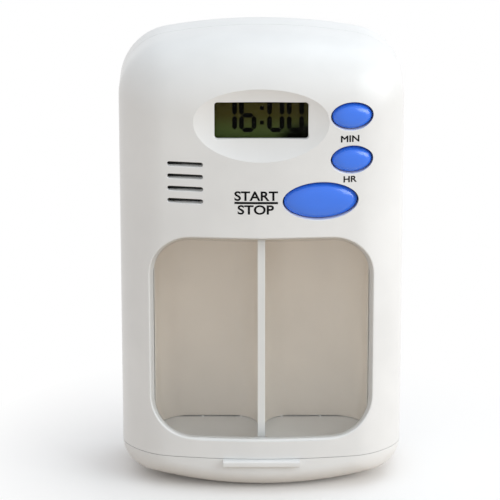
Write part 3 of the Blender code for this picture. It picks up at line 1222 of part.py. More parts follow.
def main():
    clear_scene()
    white = finish("white_plastic", (0.84, 0.84, 0.83), 0.35)
    clear = finish("clear_plastic", (0.92, 0.94, 0.94), 0.05, alpha=0.25)
    blue = finish("blue_plastic", (0.06, 0.17, 0.80), 0.3)
    olive = finish("lcd_glass", (0.12, 0.12, 0.05), 0.2)
    grey = finish("grey_plastic", (0.35, 0.35, 0.35), 0.5)
    rubber = finish("silicone_rubber", (0.12, 0.12, 0.13), 0.8)
    green = finish("board_laminate", (0.03, 0.22, 0.08), 0.5)
    black = finish("chip_epoxy", (0.02, 0.02, 0.02), 0.4)
    steel = finish("plated_steel", (0.62, 0.62, 0.60), 0.3, metallic=1.0)
    brass = finish("brass_sheet", (0.72, 0.54, 0.22), 0.35, metallic=1.0)
    ceramic = finish("piezo_ceramic", (0.75, 0.73, 0.66), 0.6)

    make_front_shell(white)
    make_rear_cover(white)
    make_window_pane(clear)
    make_pill_chamber(white)
    lid = make_bottom_lid(white)
    plate = make_lid_plate(white)
    hang_on("lid_hinge", (0, HINGE_Y, HINGE_Z), (lid, plate))
    make_hinge_pin(steel)
    make_display(clear, olive, grey, rubber)
    make_board(green, black, steel)
    make_keypad_mat(rubber)
    for key in KEYS:
        make_key(*key, blue, rubber)
    make_buzzer(brass, ceramic, steel)
    for name, x, z in BOARD_POSTS:
        make_screw("board_screw_" + name, x, z, BOARD_BACK_Y + FIT_GAP, BOARD_SCREW_RADIUS,
                   BOARD_SCREW_HEAD_RADIUS, BOARD_SCREW_HEAD_HEIGHT, BOARD_SCREW_LENGTH, steel)
    for name, x, z in COVER_SCREWS:
        make_screw("cover_screw_" + name, x, z, BACK_Y - COVER_SCREW_SEAT + FIT_GAP, COVER_SCREW_RADIUS,
                   COVER_SCREW_HEAD_RADIUS, COVER_SCREW_HEAD_HEIGHT, COVER_SCREW_LENGTH, steel)
    make_battery_cap(white)
    make_cell(steel, brass)


main()
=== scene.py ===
"""Scene of an electronic pill box: fine pieces over its packed frame, their finishes, light and camera.

It is laid out as an add-on: sizes in property groups, one operator for each piece or group of pieces,
one for the stage, and a panel that lists them. Run as a script, it builds the whole scene.
"""

import json
import math

import bmesh
import bpy
from bpy.props import FloatProperty, FloatVectorProperty, IntProperty, PointerProperty, StringProperty
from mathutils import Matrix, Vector
from mathutils.bvhtree import BVHTree
from mathutils.interpolate import poly_3d_calc

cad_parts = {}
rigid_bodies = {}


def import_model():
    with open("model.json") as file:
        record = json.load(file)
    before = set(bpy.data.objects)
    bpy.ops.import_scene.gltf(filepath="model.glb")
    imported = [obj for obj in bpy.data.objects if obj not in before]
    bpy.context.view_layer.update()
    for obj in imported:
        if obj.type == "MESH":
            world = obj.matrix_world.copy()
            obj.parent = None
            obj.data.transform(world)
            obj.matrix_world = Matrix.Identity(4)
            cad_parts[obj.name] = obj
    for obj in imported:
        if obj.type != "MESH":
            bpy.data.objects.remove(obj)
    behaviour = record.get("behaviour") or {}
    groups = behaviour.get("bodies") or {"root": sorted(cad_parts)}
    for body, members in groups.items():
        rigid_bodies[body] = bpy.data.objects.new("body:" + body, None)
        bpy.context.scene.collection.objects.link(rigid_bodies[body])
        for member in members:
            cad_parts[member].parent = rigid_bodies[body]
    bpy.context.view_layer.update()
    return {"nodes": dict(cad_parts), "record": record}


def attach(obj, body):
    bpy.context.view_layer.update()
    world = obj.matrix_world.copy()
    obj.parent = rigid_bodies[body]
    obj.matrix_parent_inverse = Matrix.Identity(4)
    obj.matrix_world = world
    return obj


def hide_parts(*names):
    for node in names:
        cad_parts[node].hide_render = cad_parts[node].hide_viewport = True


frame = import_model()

bl_info = {
    "name": "Pill Box Dressing",
    "version": (1, 0, 0),
    "blender": (4, 5, 0),
    "location": "3D View > Sidebar > Pill Box",
    "description": "Builds the fine pieces, finishes, light and camera of an electronic pill box",
    "category": "Object",
}

MM = 0.001

# Steps of a body's shallow arcs, corners, front edge and back edge, for its outside and its inside.
OUTER_STEPS = (8, 14, 14, 8)
INNER_STEPS = (4, 8, 8, 5)
CORNER_STEPS = 14
FACE_COLUMNS = 24
ROUND_STEPS = 96
SMALL_ROUND_STEPS = 36
FILLET_STEPS = 6
DISH_STEPS = 20
DOME_STEPS = 16
KNUCKLE_EDGE_SHARES = (-0.5, -0.35, -0.12, 0.12, 0.35, 0.5)
SHARP_ANGLE = math.radians(34)
# How a cut face finds the surface that it was cut from, to take its smooth normals.
NORMAL_REACH = 0.03 * MM
NORMAL_LIKENESS = 0.9
CORNER_PULL = 0.02
# Halvings that find a depth on the front edge, the dish cutter's reach past its rim, and the letters.
DEPTH_HALVINGS = 30
DISH_REACH = 1.08
LETTER_STEPS = 8
LETTER_WELD = 0.001

# Finishes: noise, gloss and relief, then clear plastic, the display's panel and the tones of the stage.
NODE_STEP = 220
NOISE_ROUGHNESS = 0.55
CLOUD_GRAINS = 15
GLOSS_SPREAD = 0.04
RELIEF_DEPTH = 0.05 * MM
CLEAR_COVER = 0.25
CLEAR_EDGE = 0.85
CLEAR_ROUGHNESS = 0.03
SLANT_POWER = 5.0
PANE_MIRROR = 0.025
LENS_MIRROR = 0.001
# Painted light: the chamber's front is painted paler than the white plastic itself, as light from the
# window.
CHAMBER_FRONT_PAINTED_LIGHT = 1.1
PANEL_BLEND = (0.1, 0.6)
# Where the painted dark reflection in the display's lower right corner starts and how it blends.
PANEL_REFLECTION_START = (0.2, 0.1)
PANEL_REFLECTION_BLEND = (0.05, 0.45)
PANEL_ROUGHNESS = (0.25, 0.38)
PANEL_GRAIN = 3000.0
WHITE = (1.0, 1.0, 1.0)
ROOM_TONE = (0.96, 0.975, 1.0, 1.0)
FLOOR_LIT_TONE = (0.62, 0.53, 0.44, 1.0)
FLOOR_SEEN_TONE = (0.95, 0.94, 0.93, 1.0)
LAMPS = (
    ("key_lamp", "key_power", (0.75, -0.5, 0.5), 0.5, (0.88, 0.98, 1.0)),
    ("right_lamp", "right_power", (0.95, -0.2, 0.3), 0.5, (1.0, 0.93, 0.92)),
    ("top_lamp", "top_power", (0.3, 0.1, 0.9), 0.6, (0.85, 0.94, 1.0)),
)
CAMERA_REACH = (0.01, 20.0)


def size(name, description, millimetres):
    """A length that the panel shows in the scene's units."""
    return FloatProperty(
        name=name, description=description, default=millimetres * MM, unit="LENGTH", subtype="DISTANCE",
        precision=5)


def amount(name, description, value, unit="NONE", subtype="NONE"):
    return FloatProperty(name=name, description=description, default=value, unit=unit, subtype=subtype)


def angle(name, description, degrees):
    return FloatProperty(
        name=name, description=description, default=math.radians(degrees), unit="ROTATION", subtype="ANGLE")


def number(name, description, value):
    return IntProperty(name=name, description=description, default=value, min=1)


def lengths(name, description, *millimetres):
    """Several lengths of one kind, in a row."""
    return FloatVectorProperty(
        name=name, description=description, size=len(millimetres), unit="LENGTH",
        default=tuple(value * MM for value in millimetres), precision=5)


def colour(name, description, value):
    return FloatVectorProperty(
        name=name, description=description, default=value, subtype="COLOR", size=3, min=0.0, max=1.0)


class PillBoxBodySettings(bpy.types.PropertyGroup):
    """Sizes of the outer body."""

    body_width: size("Body width", "Width of the box", 55.0)
    body_height: size("Body height", "Height of the box", 91.0)
    body_depth: size("Body depth", "Depth of the box without its thumb tab", 26.0)
    wall: size("Wall", "Thickness of the moulded walls", 1.6)
    front_radius: size("Front radius", "Radius of the bow of the front face in plan", 94.0)
    top_arc_radius: size("Top arc radius", "Radius of the shallow arc along the top", 105.0)
    bottom_arc_radius: size("Bottom arc radius", "Radius of the shallow arc along the bottom", 100.0)
    top_corner_radius: size("Top corner radius", "Radius of the top corners", 11.0)
    top_corner_inner_radius: size(
        "Top corner inner radius", "Radius of the top corners where the front face ends", 2.0)
    bottom_corner_radius: size("Bottom corner radius", "Radius of the bottom corners", 6.0)
    bottom_corner_inner_radius: size(
        "Bottom corner inner radius", "Radius of the bottom corners where the front face ends", 1.5)
    front_edge_side: size("Front edge side", "How far the rounded front edge reaches in at the sides", 9.0)
    front_edge_top: size("Front edge top", "How far the rounded front edge reaches down at the top", 12.0)
    front_edge_bottom: size(
        "Front edge bottom", "How far the rounded front edge reaches up at the bottom", 5.5)
    front_edge_depth: size("Front edge depth", "How far the rounded front edge reaches back", 11.5)
    back_edge_radius: size("Back edge radius", "Radius of the rounded back edge", 5.0)
    foot_flat_depth: size("Foot flat depth", "How much of the bottom arc is cut off flat", 1.0)
    parting_from_back: size("Parting from back", "Distance from the back to the parting line", 9.5)
    least_radius: size("Least radius", "Smallest radius of a moulded corner", 0.3)
    part_line: size("Part line", "Gap between the front shell and the rear cover", 0.08)
    fit_gap: size("Fit gap", "Gap between two pieces that fit together", 0.3)
    cut_overrun: size("Cut overrun", "How far a cutter runs past what it cuts", 2.0)


class PillBoxLidSettings(bpy.types.PropertyGroup):
    """Sizes of the bottom lid and its hinge."""

    lid_height: size("Lid height", "Height of the lid", 7.1)
    tab_width: size("Tab width", "Width of the thumb tab", 15.0)
    tab_height: size("Tab height", "Height of the thumb tab", 1.3)
    tab_proud: size("Tab proud", "How far the thumb tab stands out of the front", 1.0)
    tab_drop: size("Tab drop", "Distance from the seam down to the thumb tab", 0.1)
    tab_root: size("Tab root", "How far the thumb tab reaches into the wall", 1.2)
    tab_edge: size("Tab edge", "Radius of the thumb tab at its outer edges", 0.35)
    lid_plate_thickness: size("Lid plate thickness", "Thickness of the plate in the lid", 1.2)
    lid_rib_thickness: size("Lid rib thickness", "Thickness of the lid's ribs", 1.0)
    lid_rib_offset: size("Lid rib offset", "Distance from the middle to a rib", 9.0)
    catch_width: size("Catch width", "Width of a catch", 4.0)
    catch_offset: size("Catch offset", "Distance from the middle to a catch", 7.5)
    seam_gap: size("Seam gap", "Gap between the lid and the front shell", 0.11)
    catch_thickness: size("Catch thickness", "Thickness of a catch", 1.0)
    catch_height: size("Catch height", "How far a catch stands up past the seam", 2.4)
    catch_gap: size("Catch gap", "Gap between the front wall and a catch", 0.95)
    catch_root_drop: size("Catch root drop", "Distance from the seam down to the root of a catch", 0.2)
    hinge_from_side: size("Hinge from side", "Distance from the side in to the hinge", 10.5)
    knuckle_radius: size("Knuckle radius", "Radius of the hinge's knuckles", 1.4)
    knuckle_sink: size("Knuckle sink", "Depth of the knuckles under the back face", 0.1)
    rear_round_proud: size(
        "Rear round proud", "How far the rounded rear of the lid stands out of the knuckles", 0.15)
    pin_radius: size("Pin radius", "Radius of the hinge's pin", 0.55)


class PillBoxWindowSettings(bpy.types.PropertyGroup):
    """Sizes of the window, its pane and the chamber."""

    window_from_side: size("Window from side", "Distance from the side in to the window", 5.85)
    window_bottom: size("Window bottom", "Height of the lower edge of the window above the floor", 11.2)
    window_from_top: size("Window from top", "Distance from the top down to the window", 38.2)
    window_corner_radius: size("Window corner radius", "Radius of the window's corners", 8.2)
    window_edge_radius: size("Window edge radius", "Radius of the window's rounded edge", 0.35)
    window_draft: size("Window draft", "How much narrower the window is behind than in front", 0.65)
    plug_gap: size("Plug gap", "Gap between the plug of the pane and the window", 0.05)
    pane_thickness: size("Pane thickness", "Thickness of the pane", 1.2)
    pane_margin: size("Pane margin", "How far the pane reaches past the window", 1.4)
    pane_plug_depth: size("Pane plug depth", "How far the pane's plug stands in the window", 0.9)
    chamber_beyond_window: size(
        "Chamber beyond window", "How much wider than the window the chamber is on each side", 0.4)
    chamber_wall: size("Chamber wall", "Thickness of the walls of the chamber", 1.2)
    chamber_headroom: size(
        "Chamber headroom", "Distance from the top of the window to the ceiling of the chamber", 0.6)
    # The paler front of the chamber is painted light, not the plastic's own colour.
    chamber_pale_depth: size("Chamber pale depth", "Depth over which the chamber is paler", 9.0)
    divider_thickness: size("Divider thickness", "Thickness of the divider", 1.45)
    cell_outer_radius: size("Cell outer radius", "Radius of a compartment at the side wall", 6.5)
    cell_divider_radius: size("Cell divider radius", "Radius of a compartment at the divider", 5.0)


class PillBoxDisplaySettings(bpy.types.PropertyGroup):
    """Sizes of the dish and the display."""

    dish_from_side: size("Dish from side", "Distance from the side in to the dish", 14.5)
    dish_half_height: size("Dish half height", "Half of the height of the dish", 7.7)
    dish_from_top: size("Dish from top", "Distance from the top down to the dish", 15.0)
    dish_depth: size("Dish depth", "Depth of the dish", 1.8)
    dish_roundness: amount(
        "Dish roundness", "2 for an even bowl, more for a flatter middle and a steeper edge", 2.8)
    display_wall: size("Display wall", "Thickness of the wall behind the dish", 1.3)
    display_pad_margin: size("Display pad margin", "How far the wall behind the dish reaches past it", 1.2)
    display_from_side: size("Display from side", "Distance from the side in to the display", 18.55)
    display_window_height: size("Display window height", "Height of the display window", 6.9)
    display_window_corner: size(
        "Display window corner", "Radius at the corners of the display opening", 0.6)
    display_lift: size("Display lift", "How far the upper edge of the opening lies above the window", 0.4)
    display_edge_radius: size(
        "Display edge radius", "Radius of the rounded edge of the display opening", 0.25)
    display_from_top: size("Display from top", "Distance from the top down to the display", 14.95)
    lens_margin: size("Lens margin", "How far the lens reaches past the opening", 0.7)
    lens_ease: size("Lens ease", "Width of the eased edges of the lens", 0.12)
    lens_thickness: size("Lens thickness", "Thickness of the lens", 0.7)
    lcd_side_margin: size("LCD side margin", "How far the panel reaches past the window at a side", 1.05)
    lcd_upper_margin: size("LCD upper margin", "How far the panel reaches past the window above", 1.35)
    lcd_glass_step: size("Glass step", "How much smaller the front glass is", 0.4)
    lcd_film: size("Film", "Thickness of the film on the front glass", 0.15)
    lcd_thickness: size("LCD thickness", "Thickness of the panel", 2.2)
    lcd_standoff: size("LCD standoff", "Distance from the pad to the panel of the display", 0.5)
    contact_strip_depth: size("Contact strip depth", "Depth of the strip between panel and board", 2.0)


class PillBoxKeySettings(bpy.types.PropertyGroup):
    """Sizes and places of the three keys."""

    key_column_from_side: size("Key column from side", "Distance from the side in to the small keys", 10.2)
    min_key_from_top: size("Min key from top", "Distance from the top down to the minute key", 13.98)
    hour_key_from_top: size("Hour key from top", "Distance from the top down to the hour key", 22.62)
    start_key_place: lengths("Long key", "Distances from the side and from the top to it", 16.15, 30.68)
    small_key_halves: lengths("Small key size", "Half of the width and of the height", 3.82, 2.5)
    start_key_halves: lengths("Long key size", "Half of the width and of the height", 7.04, 3.5)
    key_gap: size("Key gap", "Gap round a key", 0.27)
    key_sag: size("Key sag", "How far a key sits below the middle of its hole", 0.18)
    key_hole_edge: size("Key hole edge", "Radius of the rounded edge of a key hole", 0.25)
    key_recess: size("Key recess", "Depth of a key's edge under the body, before it rounds down", 0.8)
    key_crown: size("Key crown", "Height of the dome of a key", 1.0)
    key_roundness: amount(
        "Key roundness", "2 for an even dome, more for a flatter middle and a rounder edge", 3.0)
    key_edge_drop: size("Key edge drop", "Height of the rounded edge of a key", 0.7)
    key_collar_wall: size("Key collar wall", "Thickness of the collar round a key", 0.9)
    key_collar_depth: size("Key collar depth", "How far back the collars of the keys reach", 5.0)
    key_flange_width: size("Key flange width", "How far a key's flange stands out", 0.6)
    key_flange_thickness: size("Key flange thickness", "Thickness of a key's flange", 0.6)
    key_stem_radius: size("Key stem radius", "Radius of a key's stem", 1.3)
    key_travel: size("Key travel", "How far a key moves in", 0.7)
    contact_pad_thickness: size("Contact pad thickness", "Thickness of the pad on a key's stem", 0.6)


class PillBoxSpeakerSettings(bpy.types.PropertyGroup):
    """Sizes of the slots and of the alarm behind them."""

    slot_length: size("Slot length", "Length of a slot", 6.9)
    slot_height: size("Slot height", "Height of a slot", 0.9)
    slot_drop: size("Slot drop", "How far the slots lie below the middle of the alarm", 0.15)
    # The black gauze behind the slots is partly painted shade: it darkens the slots.
    gauze_thickness: size("Gauze thickness", "Thickness of the gauze behind the slots", 0.25)
    slot_edge: size("Slot edge", "Radius of the rounded edge of a slot", 0.12)
    slot_pitch: size("Slot pitch", "Distance from one slot to the next", 2.46)
    slot_count: number("Slot count", "How many slots there are", 4)
    speaker_place: lengths("Alarm", "Distances from the side and from the top to it", 12.9, 26.95)
    buzzer_radius: size("Buzzer radius", "Radius of the alarm disc", 5.6)
    buzzer_ledge: size("Buzzer ledge", "Width of the ledge under the alarm disc", 0.25)
    buzzer_collar_wall: size("Buzzer collar wall", "Thickness of the collar round the alarm disc", 0.8)
    buzzer_seat_depth: size("Buzzer seat depth", "Depth of the alarm disc's seat", 4.6)
    buzzer_collar_depth: size("Buzzer collar depth", "Depth of the alarm disc's collar", 5.6)


class PillBoxFastenerSettings(bpy.types.PropertyGroup):
    """Sizes of the board, its posts and the screws."""

    board_thickness: size("Board thickness", "Thickness of the board", 1.6)
    board_post_radius: size("Board post radius", "Radius of a post for the board", 1.8)
    board_screw_radius: size("Board screw radius", "Radius of a screw of the board", 0.6)
    board_screw_length: size("Board screw length", "Length of a screw of the board", 4.6)
    lower_post: lengths("Lower post", "Distances from the middle and from the top to it", -0.8, 26.5)
    upper_posts: lengths("Upper posts", "Distances from the side and from the top to a post", 14.0, 7.0)
    cover_boss_radius: size("Cover boss radius", "Radius of a boss for a cover screw", 2.3)
    cover_sleeve_radius: size("Cover sleeve radius", "Radius of a sleeve round a cover screw", 3.0)
    cover_screw_radius: size("Cover screw radius", "Radius of a cover screw", 1.0)
    cover_screw_head_radius: size("Cover screw head radius", "Radius of a cover screw's head", 1.75)
    cover_screw_length: size("Cover screw length", "Length of a cover screw", 10.5)
    cover_screw_seat: size("Cover screw seat", "Depth of the seat of a cover screw", 5.0)
    upper_screws: lengths("Upper screws", "Distances from the side and from the top to a screw", 7.1, 7.7)
    lower_screws: lengths("Lower screws", "Distances from the side and from the top to a screw", 5.3, 32.0)
    cover_lip_thickness: size("Cover lip thickness", "Thickness of the cover's lip", 0.7)
    cover_lip_reach: size("Cover lip reach", "How far the lip reaches past the parting line", 1.2)


class PillBoxBatterySettings(bpy.types.PropertyGroup):
    """Sizes of the cell, its well and its cap."""

    cell_radius: size("Cell radius", "Radius of the cell", 5.8)
    cell_thickness: size("Cell thickness", "Thickness of the cell", 5.4)
    cell_from_top: size("Cell from top", "Distance from the top down to the cell", 20.5)
    cap_radius: size("Cap radius", "Radius of the cap", 8.0)
    cap_rim_thickness: size("Cap rim thickness", "Thickness of the cap's rim", 1.3)
    cap_hub_radius: size("Cap hub radius", "Radius of the cap's hub", 6.9)
    cap_hub_thickness: size("Cap hub thickness", "Thickness of the cap's hub", 1.4)
    cap_lug_reach: size("Cap lug reach", "How far a lug stands out of the cap", 1.0)
    cap_lug_thickness: size("Cap lug thickness", "Thickness of a lug", 0.8)
    cap_ease: size("Cap ease", "Radius of the eased edges of the cap", 0.2)
    cap_lug_angle: angle("Cap lug angle", "Angle that a lug spans", 34.0)
    cap_notch_angle: angle("Cap notch angle", "Angle that the notch for a lug spans", 44.0)
    cap_turn_angle: angle("Cap turn angle", "Angle that the cap turns", 60.0)
    coin_slot_length: size("Coin slot length", "Length of the coin slot", 10.0)
    coin_slot_width: size("Coin slot width", "Width of the coin slot", 1.6)
    coin_slot_depth: size("Coin slot depth", "Depth of the coin slot", 0.8)
    well_wall: size("Well wall", "Thickness of the wall round the cell", 1.4)
    well_floor: size("Well floor", "Thickness of the floor under the cell", 1.0)
    contact_thickness: size("Contact thickness", "Thickness of the cell's contacts", 0.3)
    contact_leg_width: size("Contact leg width", "Width of a contact's leg", 1.6)
    contact_strip_width: size("Contact strip width", "Width of a contact's strip", 3.0)
    contact_leg_offset: size("Contact leg offset", "Distance from the middle to a contact's leg", 2.0)


class PillBoxLegendSettings(bpy.types.PropertyGroup):
    """Words printed on the front, with the box that each one fills."""

    min_text: StringProperty(name="Minute key", description="Word under the minute key", default="MIN")
    hour_text: StringProperty(name="Hour key", description="Word under the hour key", default="HR")
    start_text: StringProperty(
        name="Start", description="Word above the line by the long key", default="START")
    stop_text: StringProperty(
        name="Stop", description="Word below the line by the long key", default="STOP")
    min_box: lengths(
        "Minute box", "Left, right, foot and top of the word under the minute key", 15.15, 18.68, 71.97,
        73.28)
    hour_box: lengths(
        "Hour box", "Left, right, foot and top of the word under the hour key", 15.7, 18.26, 63.92, 65.16)
    start_box: lengths(
        "Start box", "Left, right, foot and top of the word above the line", -5.16, 3.17, 60.6, 62.55)
    stop_box: lengths(
        "Stop box", "Left, right, foot and top of the word below the line", -4.55, 2.41, 57.85, 59.76)
    line_low: size("Line base", "Lower edge of the line between the two words", 59.97)
    line_high: size("Line top", "Upper edge of the line between the two words", 60.41)
    letter_weight: amount(
        "Letter weight", "How much the letters' strokes are thickened", 0.024, subtype="FACTOR")
    ink_rise: size("Ink rise", "How far the ink stands out of the surface", 0.02)
    ink_root: size("Ink root", "How far the ink reaches under the surface", 0.05)


class PillBoxDigitSettings(bpy.types.PropertyGroup):
    """Segments that the display shows."""

    digits: StringProperty(name="Digits", description="The four digits from left to right", default="1600")
    digit_height: size("Digit height", "Height of a digit", 6.75)
    digit_width: size("Digit width", "Width of a digit", 3.3)
    segment_width: size("Segment width", "Width of a segment", 0.92)
    segment_gap: size("Segment gap", "Gap between two segments", 0.12)
    digit_places: lengths(
        "Digit places", "Middle of each digit across the box, from left to right", -6.3, -2.6, 2.75, 6.5)
    colon_place: size("Colon", "Middle of the colon across the box", 0.1)
    colon_pitch: size("Colon pitch", "Distance from one dot of the colon to the other", 2.9)
    colon_dot: size("Colon dot", "Width of a dot of the colon", 0.75)
    digit_drop: size("Digit drop", "Distance of the digits' middle below the display's middle", -0.6)
    digit_rise: size("Digit rise", "Thickness of the segments", 0.03)


class PillBoxColourSettings(bpy.types.PropertyGroup):
    """Colours of the finishes."""

    white_plastic: colour("White plastic", "Colour of the housing", (0.80, 0.81, 0.81))
    # The chamber's beige is painted shade with painted warm bounce light on white plastic, not the
    # plastic's own colour.
    chamber_plastic: colour("Chamber plastic", "Colour of the two compartments", (0.95, 0.885, 0.805))
    pane_tint: colour("Pane", "What the pane lets through", (0.99, 0.992, 0.99))
    lens_tint: colour("Lens", "What the lens lets through", (0.98, 0.98, 0.975))
    blue_plastic: colour("Blue plastic", "Colour of the keys", (0.02, 0.172, 0.87))
    segments: colour("Segments", "Colour of the display's dark segments", (0.002, 0.002, 0.0015))
    ink: colour("Ink", "Colour of the printed words", (0.004, 0.004, 0.005))
    lcd_low: colour("Display low", "Colour of the lower part of the display", (0.062, 0.09, 0.024))
    # A painted dark reflection in the display's lower right corner.
    lcd_corner: colour(
        "Display corner", "How dark the lower right corner of the display is", (0.04, 0.04, 0.04))
    lcd_high: colour("Display high", "Colour of the upper part of the display", (0.046, 0.041, 0.007))
    board: colour("Board", "Colour of the circuit board", (0.03, 0.22, 0.08))
    epoxy: colour("Epoxy", "Colour of the resin over the chip", (0.02, 0.02, 0.02))
    rubber: colour("Rubber", "Colour of the rubber parts", (0.12, 0.12, 0.13))
    grey_plastic: colour("Grey plastic", "Colour of the display's holder", (0.35, 0.35, 0.35))
    steel: colour("Steel", "Colour of the plated steel", (0.62, 0.62, 0.60))
    brass: colour("Brass", "Colour of the brass", (0.72, 0.54, 0.22))
    ceramic: colour("Ceramic", "Colour of the silvered ceramic", (0.75, 0.73, 0.66))


class PillBoxStageSettings(bpy.types.PropertyGroup):
    """Camera, lamps and floor."""

    camera_elevation: angle("Camera elevation", "Angle of the camera above the horizon", 19.5)
    camera_distance: size("Camera distance", "Distance of the camera from its target", 700.0)
    target_depth: size("Target depth", "Depth of the camera's target behind the middle", 0.5)
    target_height: size("Target height", "Height of the camera's target", 45.0)
    lens: amount("Lens", "Focal length of the camera in millimetres", 257.0)
    shift_x: amount("Shift x", "Shift of the picture across", -0.0228)
    shift_y: amount("Shift y", "Shift of the picture upward", 0.0106)
    key_power: amount("Key power", "Power of the lamp at the upper right in watts", 2.55, "POWER")
    right_power: amount("Right power", "Power of the lamp at the right in watts", 2.65, "POWER")
    top_power: amount("Top power", "Power of the lamp overhead in watts", 1.2, "POWER")
    world_strength: amount("World strength", "Light from all round", 0.79)
    floor_size: size("Floor size", "Width of the floor", 4000.0)
    floor_fade: size("Floor fade", "Distance from the middle at which the floor is plain white", 64.0)


SETTINGS = (
    ("pill_box_body", PillBoxBodySettings),
    ("pill_box_lid", PillBoxLidSettings),
    ("pill_box_window", PillBoxWindowSettings),
    ("pill_box_display", PillBoxDisplaySettings),
    ("pill_box_keys", PillBoxKeySettings),
    ("pill_box_speaker", PillBoxSpeakerSettings),
    ("pill_box_fasteners", PillBoxFastenerSettings),
    ("pill_box_battery", PillBoxBatterySettings),
    ("pill_box_legends", PillBoxLegendSettings),
    ("pill_box_digits", PillBoxDigitSettings),
    ("pill_box_colours", PillBoxColourSettings),
    ("pill_box_stage", PillBoxStageSettings),
)


class Measures:
    """All sizes and colours of the box, and the places worked out from them."""

    def __init__(m, scene):
        for attribute, settings in SETTINGS:
            group = getattr(scene, attribute)
            for name in settings.__annotations__:
                setattr(m, name, getattr(group, name))
        m.half_width = m.body_width / 2
        m.hinge_width = m.body_width - 2 * m.hinge_from_side
        m.window_width = m.body_width - 2 * m.window_from_side
        m.window_top = m.body_height - m.window_from_top
        m.dish_half_width = m.half_width - m.dish_from_side
        m.dish_level = m.body_height - m.dish_from_top
        m.display_width = m.body_width - 2 * m.display_from_side
        m.display_level = m.body_height - m.display_from_top
        m.lcd_width = m.display_width + 2 * m.lcd_side_margin
        m.lcd_height = m.display_window_height + 2 * m.lcd_upper_margin
        m.cell_level = m.body_height - m.cell_from_top
        m.back_y = (m.body_depth + m.tab_proud) / 2
        m.front_y = m.back_y - m.body_depth
        m.before_y = m.front_y - m.cut_overrun
        m.behind_y = m.back_y + m.cut_overrun
        m.edge_y = m.front_y + m.front_edge_depth
        m.cover_front_y = m.back_y - m.parting_from_back + m.fit_gap / 2
        m.shell_bottom = m.lid_height + m.fit_gap
        m.chamber_bottom = m.lid_height + m.seam_gap
        m.pad_back_y = m.front_y + m.dish_depth + m.display_wall
        m.lcd_front_y = m.pad_back_y + m.lcd_standoff
        m.lcd_back_y = m.lcd_front_y + m.lcd_thickness
        m.board_front_y = m.lcd_back_y + m.contact_strip_depth + 2 * m.fit_gap
        m.collar_back_y = m.front_y + m.key_collar_depth
        m.buzzer_seat_y = m.front_y + m.buzzer_seat_depth
        m.inner_back_y = m.back_y - m.wall
        m.pane_front = m.wall + m.fit_gap
        m.pane_back = m.pane_front + m.pane_thickness
        m.chamber_front = m.pane_back + m.fit_gap
        m.chamber_back_y = m.inner_back_y - m.fit_gap
        m.chamber_ceiling = m.window_top + m.chamber_headroom
        m.hinge_y = m.back_y - m.knuckle_radius - m.knuckle_sink
        m.hinge_z = m.lid_height - m.knuckle_radius
        m.pin_bore_radius = m.pin_radius + m.fit_gap
        m.cap_hub_y = m.back_y - m.cap_rim_thickness
        m.cap_front_y = m.cap_hub_y - m.cap_hub_thickness
        m.well_ledge_y = m.cap_front_y - m.fit_gap
        cell_front_y = m.well_ledge_y - m.cell_thickness
        m.well_floor_y = cell_front_y - m.fit_gap - m.contact_thickness - m.fit_gap
        m.well_front_y = m.well_floor_y - m.well_floor
        m.well_radius = m.cell_radius + m.fit_gap
        m.lug_radius = m.cap_radius + m.cap_lug_reach
        m.groove_radius = m.lug_radius + m.fit_gap
        m.well_outer_radius = m.groove_radius + m.well_wall
        column = m.half_width - m.key_column_from_side
        m.keys = (
            ("min", column, m.body_height - m.min_key_from_top, *m.small_key_halves),
            ("hour", column, m.body_height - m.hour_key_from_top, *m.small_key_halves),
            ("start_stop", *m.inward(m.start_key_place), *m.start_key_halves),
        )
        x, z = m.inward(m.speaker_place)
        m.speaker = (-x, z)
        x, z = m.inward(m.upper_posts)
        m.board_posts = ((m.lower_post[0], m.body_height - m.lower_post[1]), (-x, z), (x, z))
        m.cover_screws = []
        for x, z in (m.inward(m.upper_screws), m.inward(m.lower_screws)):
            m.cover_screws += [(-x, z), (x, z)]

    def inward(m, distances):
        """Place on the right half of the box, from its distances to the side and to the top."""
        return m.half_width - distances[0], m.body_height - distances[1]


def new_object(name, data):
    thing = bpy.data.objects.new(name, data)
    bpy.context.scene.collection.objects.link(thing)
    return thing


def evaluated_mesh(thing):
    """Mesh of an object, with its modifiers or its letters worked out."""
    bpy.context.view_layer.update()
    evaluated = thing.evaluated_get(bpy.context.evaluated_depsgraph_get())
    return bpy.data.meshes.new_from_object(evaluated)


def add_object(name, mesh_builder):
    """Turn a bmesh into an object of the scene."""
    bmesh.ops.recalc_face_normals(mesh_builder, faces=mesh_builder.faces)
    mesh = bpy.data.meshes.new(name)
    mesh_builder.to_mesh(mesh)
    mesh_builder.free()
    return smooth(new_object(name, mesh))


def smooth(thing):
    """Shade the round faces of an object smooth and keep its corners sharp."""
    thing.data.shade_smooth()
    thing.data.set_sharp_from_angle(angle=SHARP_ANGLE)
    return thing


def split_quads(builder):
    """Split the four-sided faces, which aren't flat on a bowed surface."""
    bmesh.ops.triangulate(builder, faces=[face for face in builder.faces if len(face.verts) == 4])


def combine(target, tools, operation):
    """One Boolean step against all its tools."""
    group = bpy.data.collections.new("%s_step_%d" % (target.name, len(target.modifiers)))
    for tool in tools:
        tool.hide_render = True
        tool.display_type = "WIRE"
        group.objects.link(tool)
    step = target.modifiers.new(group.name, "BOOLEAN")
    step.operation = operation
    step.solver = "EXACT"
    step.operand_type = "COLLECTION"
    step.collection = group
    return target


def cut(target, *tools):
    return combine(target, tools, "DIFFERENCE")


def join(target, *tools):
    return combine(target, tools, "UNION")


def keep_inside(target, tool):
    return combine(target, (tool,), "INTERSECT")


def tools_of(thing):
    """All the tools that an object's Boolean steps use, those of the tools included."""
    found = []
    for step in thing.modifiers:
        if step.type == "BOOLEAN":
            for tool in step.collection.objects:
                found.append(tool)
                found.extend(tools_of(tool))
    return found


